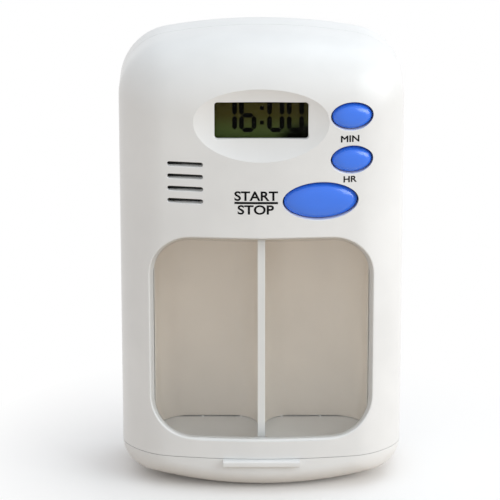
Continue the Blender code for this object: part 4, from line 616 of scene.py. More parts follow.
class SmoothSurface:
    """The smooth normals of a mesh, looked up at any point that lies on it."""

    def __init__(self, mesh):
        mesh.calc_loop_triangles()
        self.points = [vertex.co.copy() for vertex in mesh.vertices]
        self.triangles = [tuple(triangle.vertices) for triangle in mesh.loop_triangles]
        corners = [normal.vector.copy() for normal in mesh.corner_normals]
        self.corners = [tuple(corners[k] for k in triangle.loops) for triangle in mesh.loop_triangles]
        self.tree = BVHTree.FromPolygons(self.points, self.triangles)

    def find(self, point):
        return self.tree.find_nearest(point, NORMAL_REACH)

    def normal(self, point):
        place, flat, index, _ = self.tree.find_nearest(point)
        weights = poly_3d_calc([self.points[k] for k in self.triangles[index]], place)
        blend = Vector((0, 0, 0))
        for weight, corner in zip(weights, self.corners[index]):
            blend += weight * corner
        return blend.normalized() if blend.length > 0 else flat


def carry_normals(mesh, surfaces):
    """Give each face the smooth normals of the surface that it was cut from."""
    normals = [None] * len(mesh.loops)
    for face in mesh.polygons:
        best = None
        for surface in surfaces:
            place, flat, _, distance = surface.find(face.center)
            if place is None or abs(flat.dot(face.normal)) < NORMAL_LIKENESS:
                continue
            if best is None or distance < best[0]:
                best = (distance, surface, 1 if flat.dot(face.normal) > 0 else -1)
        for k in face.loop_indices:
            normals[k] = face.normal
            if best is not None:
                point = mesh.vertices[mesh.loops[k].vertex_index].co.lerp(face.center, CORNER_PULL)
                carried = best[2] * best[1].normal(point)
                if carried.dot(face.normal) > 0:
                    normals[k] = carried
    mesh.shade_smooth()
    mesh.normals_split_custom_set(normals)


def settle(piece):
    """Turn a piece's Boolean steps into a plain mesh that keeps the shading of its surfaces."""
    tools = tools_of(piece)
    surfaces = [SmoothSurface(thing.data) for thing in [piece] + tools]
    mesh = evaluated_mesh(piece)
    for step in list(piece.modifiers):
        piece.modifiers.remove(step)
    piece.data = mesh
    for tool in tools:
        bpy.data.objects.remove(tool)
    if len(mesh.polygons) == 0:
        raise RuntimeError("The Boolean steps of %s left nothing" % piece.name)
    carry_normals(mesh, surfaces)
    return piece


def bridge(builder, rings):
    """Join closed rings of as many vertices, one after the other, with four-sided faces."""
    for first, second in zip(rings, rings[1:]):
        for k in range(len(first)):
            following = (k + 1) % len(first)
            builder.faces.new((first[k], first[following], second[following], second[k]))


def extrusion(name, outlines, start, end, axis="Y"):
    """Closed outlines of two coordinates, extruded along an axis as one object."""
    builder = bmesh.new()
    for outline in outlines:
        rings = []
        for along in (start, end):
            places = {"X": [(along, a, b) for a, b in outline], "Y": [(a, along, b) for a, b in outline],
                      "Z": [(a, b, along) for a, b in outline]}
            rings.append([builder.verts.new(place) for place in places[axis]])
        bridge(builder, rings)
        builder.faces.new(rings[0])
        builder.faces.new(rings[1])
    return add_object(name, builder)


def turned(name, centre, profile):
    """A solid of circles about an axis along Y; the profile holds (radius, y) pairs."""
    rings = [(radius, radius, lambda x, z, level=y: level) for radius, y in profile]
    return oval_solid(name, centre, rings)


def oval_solid(name, centre, rings):
    """A solid of ovals stacked along Y; each ring has half axes and a depth function."""
    builder = bmesh.new()
    loops = []
    for half_width, half_height, depth in rings:
        loop = []
        for k in range(ROUND_STEPS):
            angle = 2 * math.pi * k / ROUND_STEPS
            x = centre[0] + half_width * math.cos(angle)
            z = centre[1] + half_height * math.sin(angle)
            loop.append(builder.verts.new((x, depth(x, z), z)))
        loops.append(loop)
    bridge(builder, loops)
    for loop, ring in ((loops[0], rings[0]), (loops[-1], rings[-1])):
        middle = builder.verts.new((centre[0], ring[2](*centre), centre[1]))
        for k in range(ROUND_STEPS):
            builder.faces.new((loop[k], loop[(k + 1) % ROUND_STEPS], middle))
    return add_object(name, builder)


def block(name, low, high):
    outline = [(low[0], low[2]), (high[0], low[2]), (high[0], high[2]), (low[0], high[2])]
    return extrusion(name, [outline], low[1], high[1], "Y")


def arc_points(centre, radius, start, turn, steps):
    """Points of an arc that starts at an angle and turns by another, both in degrees."""
    points = []
    for k in range(steps + 1):
        angle = math.radians(start + turn * k / steps)
        points.append((centre[0] + radius * math.cos(angle), centre[1] + radius * math.sin(angle)))
    return points


def circle(centre, radius, steps=ROUND_STEPS, start=0.0):
    points = []
    for k in range(steps):
        angle = start + 2 * math.pi * k / steps
        points.append((centre[0] + radius * math.cos(angle), centre[1] + radius * math.sin(angle)))
    return points


def oval(centre, half_width, half_height):
    return [(centre[0] + half_width * x, centre[1] + half_height * z) for x, z in circle((0, 0), 1)]


def circles(places, radius):
    """A small circle about each place."""
    return [circle(place, radius, SMALL_ROUND_STEPS) for place in places]


def rounded_box_outline(low, high, radii, steps=CORNER_STEPS):
    """A rectangle with a radius of its own at each corner, from low-low round to low-high."""
    corners = ((low[0], low[1], 180), (high[0], low[1], 270), (high[0], high[1], 0), (low[0], high[1], 90))
    points = []
    for (x, y, start), radius in zip(corners, radii):
        centre = (x + radius if x == low[0] else x - radius, y + radius if y == low[1] else y - radius)
        points += arc_points(centre, radius, start, 90, steps)
    return points


class BodyForm:
    """The rounded outer body, or one set inward from it by a wall."""

    def __init__(self, m, inset=0.0):
        self.edge_y = m.edge_y
        self.half_width = m.body_width / 2 - inset
        self.top = m.body_height - inset
        self.bottom = inset - m.foot_flat_depth
        self.front = m.front_y + inset
        self.back = m.back_y - inset
        self.front_radius = m.front_radius - inset
        self.top_arc = m.top_arc_radius - inset
        self.bottom_arc = m.bottom_arc_radius - inset
        self.top_corners = (m.top_corner_radius - inset, max(m.top_corner_inner_radius, m.least_radius))
        self.bottom_corners = (
            m.bottom_corner_radius - inset, max(m.bottom_corner_inner_radius, m.least_radius))
        self.edges = [edge - inset for edge in (m.front_edge_side, m.front_edge_top, m.front_edge_bottom)]
        self.back_radius = m.back_edge_radius - inset
        self.steps = INNER_STEPS if inset else OUTER_STEPS

    def face_y(self, x):
        """The front face bows forward in the middle."""
        return self.front + x * x / (2 * self.front_radius)

    def ring(self, side, top, bottom, inward):
        """Right half of an outline, from its top to its bottom, set in by three lengths."""
        half_width = self.half_width - side
        top_corner = self.top_corners[0] + (self.top_corners[1] - self.top_corners[0]) * inward
        bottom_corner = self.bottom_corners[0] + (self.bottom_corners[1] - self.bottom_corners[0]) * inward
        steps = self.steps[:2]
        upper = half_outline(half_width, self.top - top, top_corner, self.top_arc, -1, steps)
        lower = half_outline(half_width, self.bottom + bottom, bottom_corner, self.bottom_arc, 1, steps)
        return upper + lower[::-1]

    def front_ring(self, inward):
        return self.ring(*(edge * inward for edge in self.edges), inward)

    def back_ring(self, inward):
        step = self.back_radius * inward
        share = step / (self.half_width - step)
        return self.ring(step, step, step, share)

    def surface_y(self, x, z):
        """Depth of the front surface over a point of the face, its rounded edge included."""
        low, high = 0.0, 1.0
        if inside_outline(x, z, self.front_ring(high)):
            return self.face_y(x)
        for _ in range(DEPTH_HALVINGS):
            middle = (low + high) / 2
            if inside_outline(x, z, self.front_ring(middle)):
                low = middle
            else:
                high = middle
        rise = math.sin(math.acos(1 - low))
        return self.edge_y - (self.edge_y - self.face_y(x)) * rise


def half_outline(half_width, level, corner, arc, direction, steps):
    """Centre line to widest point: a shallow arc that runs into a round corner."""
    centre_x = half_width - corner
    drop = arc - math.sqrt((arc - corner) ** 2 - centre_x ** 2)
    bend = math.asin(centre_x / (arc - corner))
    arc_steps, corner_steps = steps
    points = []
    for k in range(arc_steps):
        angle = bend * k / arc_steps
        points.append((arc * math.sin(angle), level + direction * (arc - arc * math.cos(angle))))
    for k in range(corner_steps + 1):
        angle = bend + (math.pi / 2 - bend) * k / corner_steps
        x = centre_x + corner * math.sin(angle)
        points.append((x, level + direction * (drop - corner * math.cos(angle))))
    return points


def inside_outline(x, z, half):
    """Whether a point lies inside the outline whose right half is given."""
    reach = None
    for (x0, z0), (x1, z1) in zip(half, half[1:]):
        if z1 <= z <= z0 and z0 > z1:
            reach = x0 + (x1 - x0) * (z0 - z) / (z0 - z1)
    return reach is not None and abs(x) <= reach


def mirrored(half):
    """Whole outline from its right half, which starts and ends on the centre line."""
    return half + [(-x, z) for x, z in half[-2:0:-1]]


def bowed_cap(builder, ring, half, depth):
    """Close a ring with rows of faces that follow a bowed surface."""
    count = len(half)
    rows = [[ring[0]]]
    for k in range(1, count - 1):
        right = ring[k]
        left = ring[-k]
        x, z = half[k]
        row = [left]
        for column in range(1, FACE_COLUMNS):
            across = -x + 2 * x * column / FACE_COLUMNS
            row.append(builder.verts.new((across, depth(across), z)))
        row.append(right)
        rows.append(row)
    rows.append([ring[count - 1]])
    for upper, lower in zip(rows, rows[1:]):
        for column in range(FACE_COLUMNS):
            if len(upper) == 1:
                builder.faces.new((upper[0], lower[column], lower[column + 1]))
            elif len(lower) == 1:
                builder.faces.new((upper[column + 1], upper[column], lower[0]))
            else:
                builder.faces.new((upper[column], lower[column], lower[column + 1], upper[column + 1]))


def body_solid(m, name, inset=0.0):
    """The closed body: bowed front, wide round front edge and tight round back edge."""
    form = BodyForm(m, inset)
    builder = bmesh.new()
    loops = []
    front_steps, back_steps = form.steps[2:]
    for step in range(back_steps, -1, -1):
        angle = math.pi / 2 * step / back_steps
        inward = 1 - math.cos(angle)
        y = form.back - form.back_radius + form.back_radius * math.sin(angle)
        outline = mirrored(form.back_ring(inward))
        loops.append([builder.verts.new((x, y, z)) for x, z in outline])
    for step in range(front_steps + 1):
        angle = math.pi / 2 * step / front_steps
        half = form.front_ring(1 - math.cos(angle))
        rise = math.sin(angle)
        loop = []
        for x, z in mirrored(half):
            loop.append(builder.verts.new((x, m.edge_y - (m.edge_y - form.face_y(x)) * rise, z)))
        loops.append(loop)
    bridge(builder, loops)
    builder.faces.new(loops[0])
    bowed_cap(builder, loops[-1], half, form.face_y)
    split_quads(builder)
    return add_object(name, builder)


def bowed_stack(m, name, layers):
    """Symmetric outlines stacked behind the front surface; each layer has a half outline and an offset."""
    form = BodyForm(m)
    middle = (m.window_top + m.window_bottom) / 2
    builder = bmesh.new()
    loops = []
    for half, offset in layers:
        loop = [builder.verts.new((x, form.surface_y(x, middle) + offset, z)) for x, z in mirrored(half)]
        loops.append(loop)
    bridge(builder, loops)
    for loop, (half, offset) in ((loops[0], layers[0]), (loops[-1], layers[-1])):
        bowed_cap(builder, loop, half, lambda x, shift=offset: form.surface_y(x, middle) + shift)
    split_quads(builder)
    return add_object(name, builder)


def window_half(m, grow, down=0.0):
    """Right half of the window's outline, made larger or smaller all round and lower at its foot."""
    half_width = m.window_width / 2 + grow
    radius = m.window_corner_radius + grow
    top = m.window_top + grow
    bottom = m.window_bottom - grow - down
    points = [(0, top)]
    for centre_z, start in ((top - radius, 90), (bottom + radius, 0)):
        points += arc_points((half_width - radius, centre_z), radius, start, -90, CORNER_STEPS)
    points.append((0, bottom))
    return points


def window_cutter(m):
    """The window's opening with a rounded outer edge."""
    layers = [(window_half(m, m.window_edge_radius), -m.cut_overrun)]
    layers += [(window_half(m, grow), sink) for grow, sink in eased(m.window_edge_radius)]
    slope = m.window_draft / (m.wall - m.window_edge_radius)
    deepest = m.window_draft + slope * m.cut_overrun
    layers.append((window_half(m, -deepest, deepest), m.wall + m.cut_overrun))
    return bowed_stack(m, "window_cutter", layers)


def centred_outline(centre_z, width, height, radius):
    low = (-width / 2, centre_z - height / 2)
    high = (width / 2, centre_z + height / 2)
    return rounded_box_outline(low, high, [radius] * 4, FILLET_STEPS)


def slot_outline(centre, half_length, half_height):
    """Outline of a slot with round ends, for any growth."""
    def outline(grow):
        low = (centre[0] - half_length - grow, centre[1] - half_height - grow)
        high = (centre[0] + half_length + grow, centre[1] + half_height + grow)
        return rounded_box_outline(low, high, [half_height + grow] * 4, FILLET_STEPS)

    return outline


def key_plane(m, centre_x, centre_z):
    """Plane that lies on the body's front surface at a key's centre."""
    form = BodyForm(m)
    reach = m.small_key_halves[1] / 2
    level = form.surface_y(centre_x, centre_z)
    across = form.surface_y(centre_x + reach, centre_z) - form.surface_y(centre_x - reach, centre_z)
    slope = across / (2 * reach)
    return lambda x, z: level + slope * (x - centre_x)


def sunk_loft(name, outline, layers):
    """A tool through the front: outline(grow) gives its outline, each layer a growth and a depth."""
    builder = bmesh.new()
    loops = []
    for grow, depth in layers:
        loops.append([builder.verts.new((x, depth(x, z), z)) for x, z in outline(grow)])
    bridge(builder, loops)
    builder.faces.new(loops[0])
    builder.faces.new(loops[-1])
    split_quads(builder)
    return add_object(name, builder)


def eased(radius):
    """Growth and depth of each step down a rounded edge."""
    turns = [math.pi / 2 * k / FILLET_STEPS for k in range(FILLET_STEPS + 1)]
    return [(radius * (1 - math.sin(turn)), radius * (1 - math.cos(turn))) for turn in turns]


def rounded_entry(surface, edge, front, back):
    """Layers of a hole whose outer edge is rounded where it meets a surface."""
    layers = [(edge, lambda x, z: front)]
    for grow, sink in eased(edge):
        layers.append((grow, lambda x, z, sink=sink: surface(x, z) + sink))
    layers.append((0.0, lambda x, z: back))
    return layers


def dish_surface(m):
    """Depth of the dish over a point of the face."""
    form = BodyForm(m)

    def depth(x, z):
        along = x / m.dish_half_width
        up = (z - m.dish_level) / m.dish_half_height
        return form.face_y(x) + m.dish_depth * (1 - math.hypot(along, up) ** m.dish_roundness)

    return depth


def dish_cutter(m):
    """A shallow oval dish, sunk in the bowed front."""
    form = BodyForm(m)
    rings = []
    for k in range(1, DISH_STEPS + 1):
        reach = DISH_REACH * k / DISH_STEPS
        sink = m.dish_depth * (1 - reach ** m.dish_roundness)
        rings.append((m.dish_half_width * reach, m.dish_half_height * reach,
                      lambda x, z, sink=sink: form.face_y(x) + sink))
    rings.append((m.dish_half_width * DISH_REACH, m.dish_half_height * DISH_REACH, lambda x, z: m.before_y))
    return oval_solid("dish_cutter", (0, m.dish_level), rings)


def display_cutter(m):
    """Opening for the display, rounded where it leaves the dish."""
    def outline(grow):
        return centred_outline(
            m.display_level + m.display_lift / 2, m.display_width + 2 * grow,
            m.display_window_height + m.display_lift + 2 * grow, m.display_window_corner + grow)

    layers = rounded_entry(dish_surface(m), m.display_edge_radius, m.before_y, m.pad_back_y + m.cut_overrun)
    return sunk_loft("display_opening", outline, layers)


def key_hole_cutter(m, name, x, z, half_width, half_height):
    """Oval hole with a rounded outer edge, through the front and its collar."""
    plane = key_plane(m, x, z)
    wide = half_width + m.key_gap
    high = half_height + m.key_gap
    layers = rounded_entry(plane, m.key_hole_edge, m.before_y, m.collar_back_y + m.cut_overrun)
    return sunk_loft(name + "_hole_cutter", lambda grow: oval((x, z), wide + grow, high + grow), layers)


def slot_group():
    """Node group that repeats one tool at even steps up the box."""
    group = bpy.data.node_groups.new("Repeated Slots", "GeometryNodeTree")
    for name, kind in (("Tool", "Object"), ("Count", "Int"), ("First", "Vector"), ("Step", "Vector"),
                       ("Material", "Material")):
        group.interface.new_socket(name, in_out="INPUT", socket_type="NodeSocket" + kind)
    group.interface.new_socket("Slots", in_out="OUTPUT", socket_type="NodeSocketGeometry")
    kinds = (
        "NodeGroupInput", "GeometryNodeMeshLine", "GeometryNodeObjectInfo", "GeometryNodeInstanceOnPoints",
        "GeometryNodeRealizeInstances", "GeometryNodeSetMaterial", "NodeGroupOutput")
    nodes = [add_node(group, kind, column) for column, kind in enumerate(kinds)]
    entry, line, tool, repeat, real, finish, leave = nodes
    line.mode = "OFFSET"
    link(entry, "Count", line, "Count")
    link(entry, "First", line, "Start Location")
    link(entry, "Step", line, "Offset")
    link(entry, "Tool", tool, "Object")
    link(line, "Mesh", repeat, "Points")
    link(tool, "Geometry", repeat, "Instance")
    link(repeat, "Instances", real, "Geometry")
    link(real, "Geometry", finish, "Geometry")
    link(entry, "Material", finish, "Material")
    link(finish, "Geometry", leave, "Slots")
    return group


def set_input(modifier, name, value):
    """Set one named input of a node group's modifier."""
    for item in modifier.node_group.interface.items_tree:
        if item.item_type == "SOCKET" and item.in_out == "INPUT" and item.name == name:
            modifier[item.identifier] = value


def slot_cutter(m, back):
    """The speaker's slots, one above the other, with rounded edges."""
    form = BodyForm(m)
    layers = rounded_entry(lambda x, z: form.face_y(x), m.slot_edge, m.before_y, back)
    outline = slot_outline((m.speaker[0], 0), m.slot_length / 2, m.slot_height / 2)
    one = sunk_loft("one_slot", outline, layers)
    slots = new_object("speaker_slots", bpy.data.meshes.new("speaker_slots"))
    step = slots.modifiers.new("Repeated Slots", "NODES")
    step.node_group = slot_group()
    lowest = m.speaker[1] - m.slot_drop - (m.slot_count - 1) / 2 * m.slot_pitch
    for name, value in (("Tool", one), ("Count", m.slot_count), ("First", (0, 0, lowest)),
                        ("Step", (0, 0, m.slot_pitch)), ("Material", bpy.data.materials.new("Slot Wall"))):
        set_input(step, name, value)
    slots.data = evaluated_mesh(slots)
    slots.modifiers.remove(step)
    slots.data.materials.clear()
    bpy.data.objects.remove(one)
    if len(slots.data.polygons) == 0:
        raise RuntimeError("The speaker's slots came out empty")
    return smooth(slots)


def shell_cavity(m):
    """Hollow of the front shell, less the bosses, posts, collars and pad that stand in it."""
    pad = oval((0, m.dish_level), m.dish_half_width + m.display_pad_margin,
               m.dish_half_height + m.display_pad_margin)
    masses = [("display_pad", [pad], m.pad_back_y)]
    grow = m.fit_gap + m.key_collar_wall
    for name, x, z, half_width, half_height in m.keys:
        collar = oval((x, z), half_width + grow, half_height + grow)
        masses.append((name + "_collar", [collar], m.collar_back_y))
    collar = circle(m.speaker, m.buzzer_radius + m.fit_gap + m.buzzer_collar_wall)
    masses.append(("buzzer_collar", [collar], m.front_y + m.buzzer_collar_depth))
    masses.append(("board_posts", circles(m.board_posts, m.board_post_radius), m.board_front_y - m.fit_gap))
    masses.append(("cover_bosses", circles(m.cover_screws, m.cover_boss_radius), m.back_y))
    solids = [extrusion(name, outlines, m.before_y, back) for name, outlines, back in masses]
    return cut(body_solid(m, "shell_cavity", m.wall), *solids)


def make_front_shell(m):
    """Front, sides and front half of the top, with everything that opens through them."""
    half = m.body_width
    throat_y = BodyForm(m, m.wall).surface_y(*m.speaker)
    slots = slot_cutter(m, (throat_y + m.buzzer_seat_y) / 2)
    tools = [
        shell_cavity(m),
        block("behind_parting", (-half, m.cover_front_y - m.part_line, -half),
              (half, m.back_y + half, 2 * m.body_height)),
        block("under_seam", (-half, -half, -half), (half, half, m.lid_height + m.seam_gap)),
        window_cutter(m),
        dish_cutter(m),
        display_cutter(m),
        slots,
    ]
    rebate = 2 * (m.lens_margin + m.fit_gap)
    pocket = centred_outline(m.display_level, m.display_width + rebate,
                             m.display_window_height + rebate, m.display_window_corner)
    pocket_y = m.pad_back_y - m.lens_thickness - m.fit_gap
    tools.append(extrusion("lens_pocket", [pocket], pocket_y, m.pad_back_y + m.cut_overrun))
    tools += [key_hole_cutter(m, *key) for key in m.keys]
    round_seat = circle(m.speaker, m.buzzer_radius + m.fit_gap)
    throat = circle(m.speaker, m.buzzer_radius - m.buzzer_ledge)
    for name, outlines, front, back in (
            ("buzzer_seat", [round_seat], m.buzzer_seat_y, m.buzzer_seat_y + m.buzzer_collar_depth),
            ("buzzer_throat", [throat], throat_y, m.buzzer_seat_y + m.cut_overrun),
            ("board_screw_bores", circles(m.board_posts, m.board_screw_radius + m.fit_gap),
             m.board_front_y + m.board_thickness - m.board_screw_length, m.board_front_y + m.cut_overrun),
            ("cover_screw_bores", circles(m.cover_screws, m.cover_screw_radius + m.fit_gap),
             m.back_y - m.cover_screw_seat - m.cover_screw_length, m.back_y)):
        tools.append(extrusion(name, outlines, front, back))
    return settle(cut(body_solid(m, "front_moulding"), *tools))


def cover_cavity(m):
    """Hollow of the rear cover, less the screw sleeves."""
    sleeves = circles(m.cover_screws, m.cover_sleeve_radius)
    tool = extrusion("screw_sleeves", sleeves, m.cover_front_y - m.cut_overrun, m.behind_y)
    return cut(body_solid(m, "cover_cavity", m.wall), tool)


def cover_lip(m):
    """Low wall that runs round inside the front shell, relieved at the screw bosses."""
    half = m.body_width
    outside = m.wall + m.fit_gap
    reliefs = circles(m.cover_screws, m.cover_boss_radius + m.fit_gap)
    lip_front = m.cover_front_y - m.cover_lip_reach
    lip_back = m.cover_front_y + m.cover_lip_reach
    lip = body_solid(m, "cover_lip", outside)
    cut(lip, body_solid(m, "lip_inside", outside + m.cover_lip_thickness),
        extrusion("lip_reliefs", reliefs, lip_front - m.cut_overrun, lip_back + m.cover_lip_reach))
    keep_inside(lip, block("lip_band", (-half, lip_front, m.shell_bottom), (half, lip_back, m.body_height)))
    root = body_solid(m, "lip_root", m.wall / 2)
    cut(root, body_solid(m, "root_inside", outside + m.cover_lip_thickness / 2))
    keep_inside(root, block("root_band", (-half, m.cover_front_y, m.shell_bottom),
                            (half, (m.cover_front_y + lip_back) / 2, m.body_height)))
    return lip, root


def sector(centre, inner, outer, middle_angle, width_angle):
    """Round outer edge and straight inner edge of a lug or its notch, seen along Y."""
    start = middle_angle - width_angle / 2
    outside = arc_points(centre, outer, start, width_angle, CORNER_STEPS)
    return outside + arc_points(centre, inner, start, width_angle, 1)[::-1]


def knuckle(m, name, low_x, high_x, radius):
    """Barrel of the lid's hinge between two places along it, with a flat on top."""
    outline = circle((m.hinge_y, m.hinge_z), radius, SMALL_ROUND_STEPS, math.pi / SMALL_ROUND_STEPS)
    return extrusion(name, [outline], low_x, high_x, "X")


def knuckle_spans(m):
    """Ends of each knuckle, with the running gap taken off both."""
    edges = [m.hinge_width * share for share in KNUCKLE_EDGE_SHARES]
    return [(low + m.fit_gap / 2, high - m.fit_gap / 2) for low, high in zip(edges, edges[1:])]


def cap_seat_tools(m):
    """Cutters for the well of the cell, the seat of its cap, the lugs' groove and the contacts' slots."""
    centre = (0, m.cell_level)
    cap_hole_radius = m.cap_radius + m.fit_gap
    profile = (
        (m.well_radius, m.well_floor_y), (m.well_radius, m.well_ledge_y), (m.groove_radius, m.well_ledge_y),
        (m.groove_radius, m.inner_back_y), (cap_hole_radius, m.inner_back_y), (cap_hole_radius, m.behind_y))
    tools = [turned("cap_seat", centre, profile)]
    notch_front = m.inner_back_y - m.cut_overrun / 4
    for name, opposite in (("upper", 0), ("lower", 180)):
        notch = sector(centre, m.cap_hub_radius, m.lug_radius + m.fit_gap / 2,
                       opposite - math.degrees(m.cap_turn_angle), math.degrees(m.cap_notch_angle))
        tools.append(extrusion(name + "_lug_notch", [notch], notch_front, m.behind_y))
    leg_reach = m.contact_thickness / 2 + m.fit_gap
    for name, low_x, high_x, back, width in (
            ("positive_slot", m.cell_radius - m.fit_gap, m.well_radius + m.contact_thickness + m.fit_gap,
             m.well_ledge_y + m.fit_gap, m.contact_strip_width),
            ("negative_slot", -m.contact_leg_offset - leg_reach, -m.contact_leg_offset + leg_reach,
             m.well_floor_y + m.cut_overrun, m.contact_leg_width)):
        half = width / 2 + m.fit_gap
        tools.append(block(name, (low_x, m.well_front_y - m.cut_overrun, m.cell_level - half),
                           (high_x, back, m.cell_level + half)))
    return tools


def make_rear_cover(m):
    cover = body_solid(m, "rear_moulding")
    half = m.body_width
    cut(cover, cover_cavity(m),
        block("before_parting", (-half, -half, -half), (half, m.cover_front_y, 2 * m.body_height)),
        block("under_cover", (-half, -half, -half), (half, half, m.shell_bottom)))
    additions = list(cover_lip(m))
    cup = ((m.well_outer_radius, m.well_front_y), (m.well_outer_radius, m.inner_back_y + m.wall / 2))
    additions.append(turned("well_cup", (0, m.cell_level), cup))
    hanger = [(m.hinge_y + m.knuckle_radius, m.shell_bottom + m.knuckle_radius),
              (m.hinge_y, m.shell_bottom + m.knuckle_radius)]
    hanger += arc_points((m.hinge_y, m.hinge_z), m.knuckle_radius, 90, 270, SMALL_ROUND_STEPS)
    for place, (low, high) in enumerate(knuckle_spans(m)):
        if place % 2 == 0:
            additions.append(extrusion("cover_knuckle_%d" % place, [hanger], low, high, "X"))
    join(cover, *additions)
    heads = circles(m.cover_screws, m.cover_screw_head_radius + m.fit_gap)
    shanks = circles(m.cover_screws, m.cover_screw_radius + m.fit_gap)
    half_hinge = m.hinge_width / 2 + m.cut_overrun
    cut(cover, *cap_seat_tools(m),
        extrusion("screw_heads", heads, m.back_y - m.cover_screw_seat, m.behind_y),
        extrusion("screw_holes", shanks, m.cover_front_y - m.cut_overrun, m.back_y),
        knuckle(m, "cover_pin_bore", -half_hinge, half_hinge, m.pin_bore_radius))
    return cover


def make_bottom_lid(m):
    """Flip lid under both compartments: hollow cap, thumb tab, catches, ribs and knuckles."""
    half = m.body_width
    ribs_top = m.lid_height - m.lid_plate_thickness - m.fit_gap
    solids = [block("lid_floor", (-half, -half, -half), (half, half, m.wall))]
    for side in (-1, 1):
        rib = side * m.lid_rib_offset
        solids.append(block("lid_rib_%d" % side, (rib - m.lid_rib_thickness / 2, -half, -half),
                            (rib + m.lid_rib_thickness / 2, half, ribs_top)))
    tools = [
        cut(body_solid(m, "lid_cavity", m.wall), *solids),
        block("above_seam", (-half, -half, m.lid_height), (half, half, 2 * m.body_height)),
        block("under_foot", (-half, -half, -half), (half, half, 0)),
    ]
    round_radius = m.knuckle_radius + m.rear_round_proud
    corner = [
        (m.hinge_y + 2 * m.knuckle_radius, m.hinge_z),
        (m.hinge_y + 2 * m.knuckle_radius, m.hinge_z + 2 * m.knuckle_radius),
        (m.hinge_y, m.hinge_z + 2 * m.knuckle_radius)]
    corner += arc_points((m.hinge_y, m.hinge_z), round_radius, 90, -90, CORNER_STEPS)
    tools.append(extrusion("rear_corner", [corner], -half, half, "X"))
    additions = []
    gap = m.knuckle_radius + m.fit_gap
    for place, (low, high) in enumerate(knuckle_spans(m)):
        if place % 2 == 1:
            additions.append(knuckle(m, "lid_knuckle_%d" % place, low, high, m.knuckle_radius))
        else:
            tools.append(block("lid_notch_%d" % place, (low - m.fit_gap, m.hinge_y - gap, m.hinge_z - gap),
                               (high + m.fit_gap, m.behind_y, m.lid_height + m.cut_overrun)))
    tab_top = m.lid_height - m.tab_drop
    tab_outline = rounded_box_outline(
        (m.front_y - m.tab_proud, tab_top - m.tab_height), (m.front_y + m.tab_root, tab_top),
        (m.tab_edge, m.least_radius, m.least_radius, m.tab_edge), FILLET_STEPS)
    additions.append(extrusion("thumb_tab", [tab_outline], -m.tab_width / 2, m.tab_width / 2, "X"))
    front = BodyForm(m, m.wall).face_y(m.catch_offset + m.catch_width / 2) + m.catch_gap
    back = front + m.catch_thickness
    low, high = m.lid_height - m.lid_plate_thickness, m.lid_height + m.catch_height
    root_y, root_top = m.front_y + m.wall / 2, m.lid_height - m.catch_root_drop
    tongue = [
        (root_y, low), (back, low), (back, high), (front, high), (front, root_top), (root_y, root_top)]
    for side in (-1, 1):
        start = side * m.catch_offset - m.catch_width / 2
        end = side * m.catch_offset + m.catch_width / 2
        additions.append(extrusion("lid_catch_%d" % side, [tongue], start, end, "X"))
    lid = body_solid(m, "lid_moulding")
    cut(lid, *tools)
    join(lid, *additions)
    half_hinge = m.hinge_width / 2 + m.fit_gap
    return cut(lid, knuckle(m, "lid_pin_bore", -half_hinge, half_hinge, m.pin_bore_radius))


def make_window_pane(m):
    """Clear pane: a plate behind the front wall and a plug that stands in the window."""
    pane = body_solid(m, "clear_pane", m.pane_front)
    cut(pane, body_solid(m, "pane_hollow", m.pane_back))
    whole = mirrored(window_half(m, m.pane_margin))
    keep_inside(pane, extrusion("pane_outline", [whole], m.before_y, m.edge_y))
    plug = body_solid(m, "pane_plug", m.wall - m.pane_plug_depth)
    cut(plug, body_solid(m, "plug_hollow", (m.pane_front + m.pane_back) / 2))
    whole = mirrored(window_half(m, -m.window_draft - m.plug_gap, m.window_draft))
    keep_inside(plug, extrusion("plug_outline", [whole], m.before_y, m.edge_y))
    return join(pane, plug)


def make_pill_chamber(m):
    """Two tall compartments, open in front behind the pane and open at the bottom."""
    half = m.window_width / 2 + m.chamber_beyond_window
    outer_corner = m.cell_outer_radius + m.chamber_wall
    front = m.before_y
    outline = rounded_box_outline(
        (-half, front), (half, m.chamber_back_y),
        (m.least_radius, m.least_radius, outer_corner, outer_corner))
    top = m.chamber_ceiling + m.chamber_wall
    chamber = extrusion("chamber_liner", [outline], m.chamber_bottom, top, "Z")
    before = block(
        "before_chamber", (-m.body_width, front - m.cut_overrun, 0), (m.body_width, m.edge_y, 2 * top))
    cut(before, body_solid(m, "behind_pane", m.chamber_front))
    cut(chamber, before)
    inner = half - m.chamber_wall
    cell_back = m.chamber_back_y - m.chamber_wall
    cell_front = front - m.cut_overrun
    outer, beside = m.cell_outer_radius, m.cell_divider_radius
    cells = (
        rounded_box_outline((m.divider_thickness / 2, cell_front), (inner, cell_back),
                            (m.least_radius, m.least_radius, outer, beside)),
        rounded_box_outline((-inner, cell_front), (-m.divider_thickness / 2, cell_back),
                            (m.least_radius, m.least_radius, beside, outer)),
    )
    bottom = m.chamber_bottom - m.cut_overrun
    return cut(chamber, extrusion("compartments", cells, bottom, m.chamber_ceiling, "Z"))


def make_gauze_and_shade(m):
    """Black gauze behind the slots, which keeps dust off the alarm and also stands in as a dark sheet for
    the shade deep in the slots.
    """
    form = BodyForm(m)
    radius = m.buzzer_radius - m.buzzer_ledge - m.fit_gap
    front = m.wall + m.plug_gap
    reaches = [radius * k / DOME_STEPS for k in range(1, DOME_STEPS + 1)]
    rings = [(reach, reach, lambda x, z: form.face_y(x) + front) for reach in reaches]
    rings += [(reach, reach, lambda x, z: form.face_y(x) + front + m.gauze_thickness)
              for reach in reversed(reaches)]
    return oval_solid("slot_gauze", m.speaker, rings)


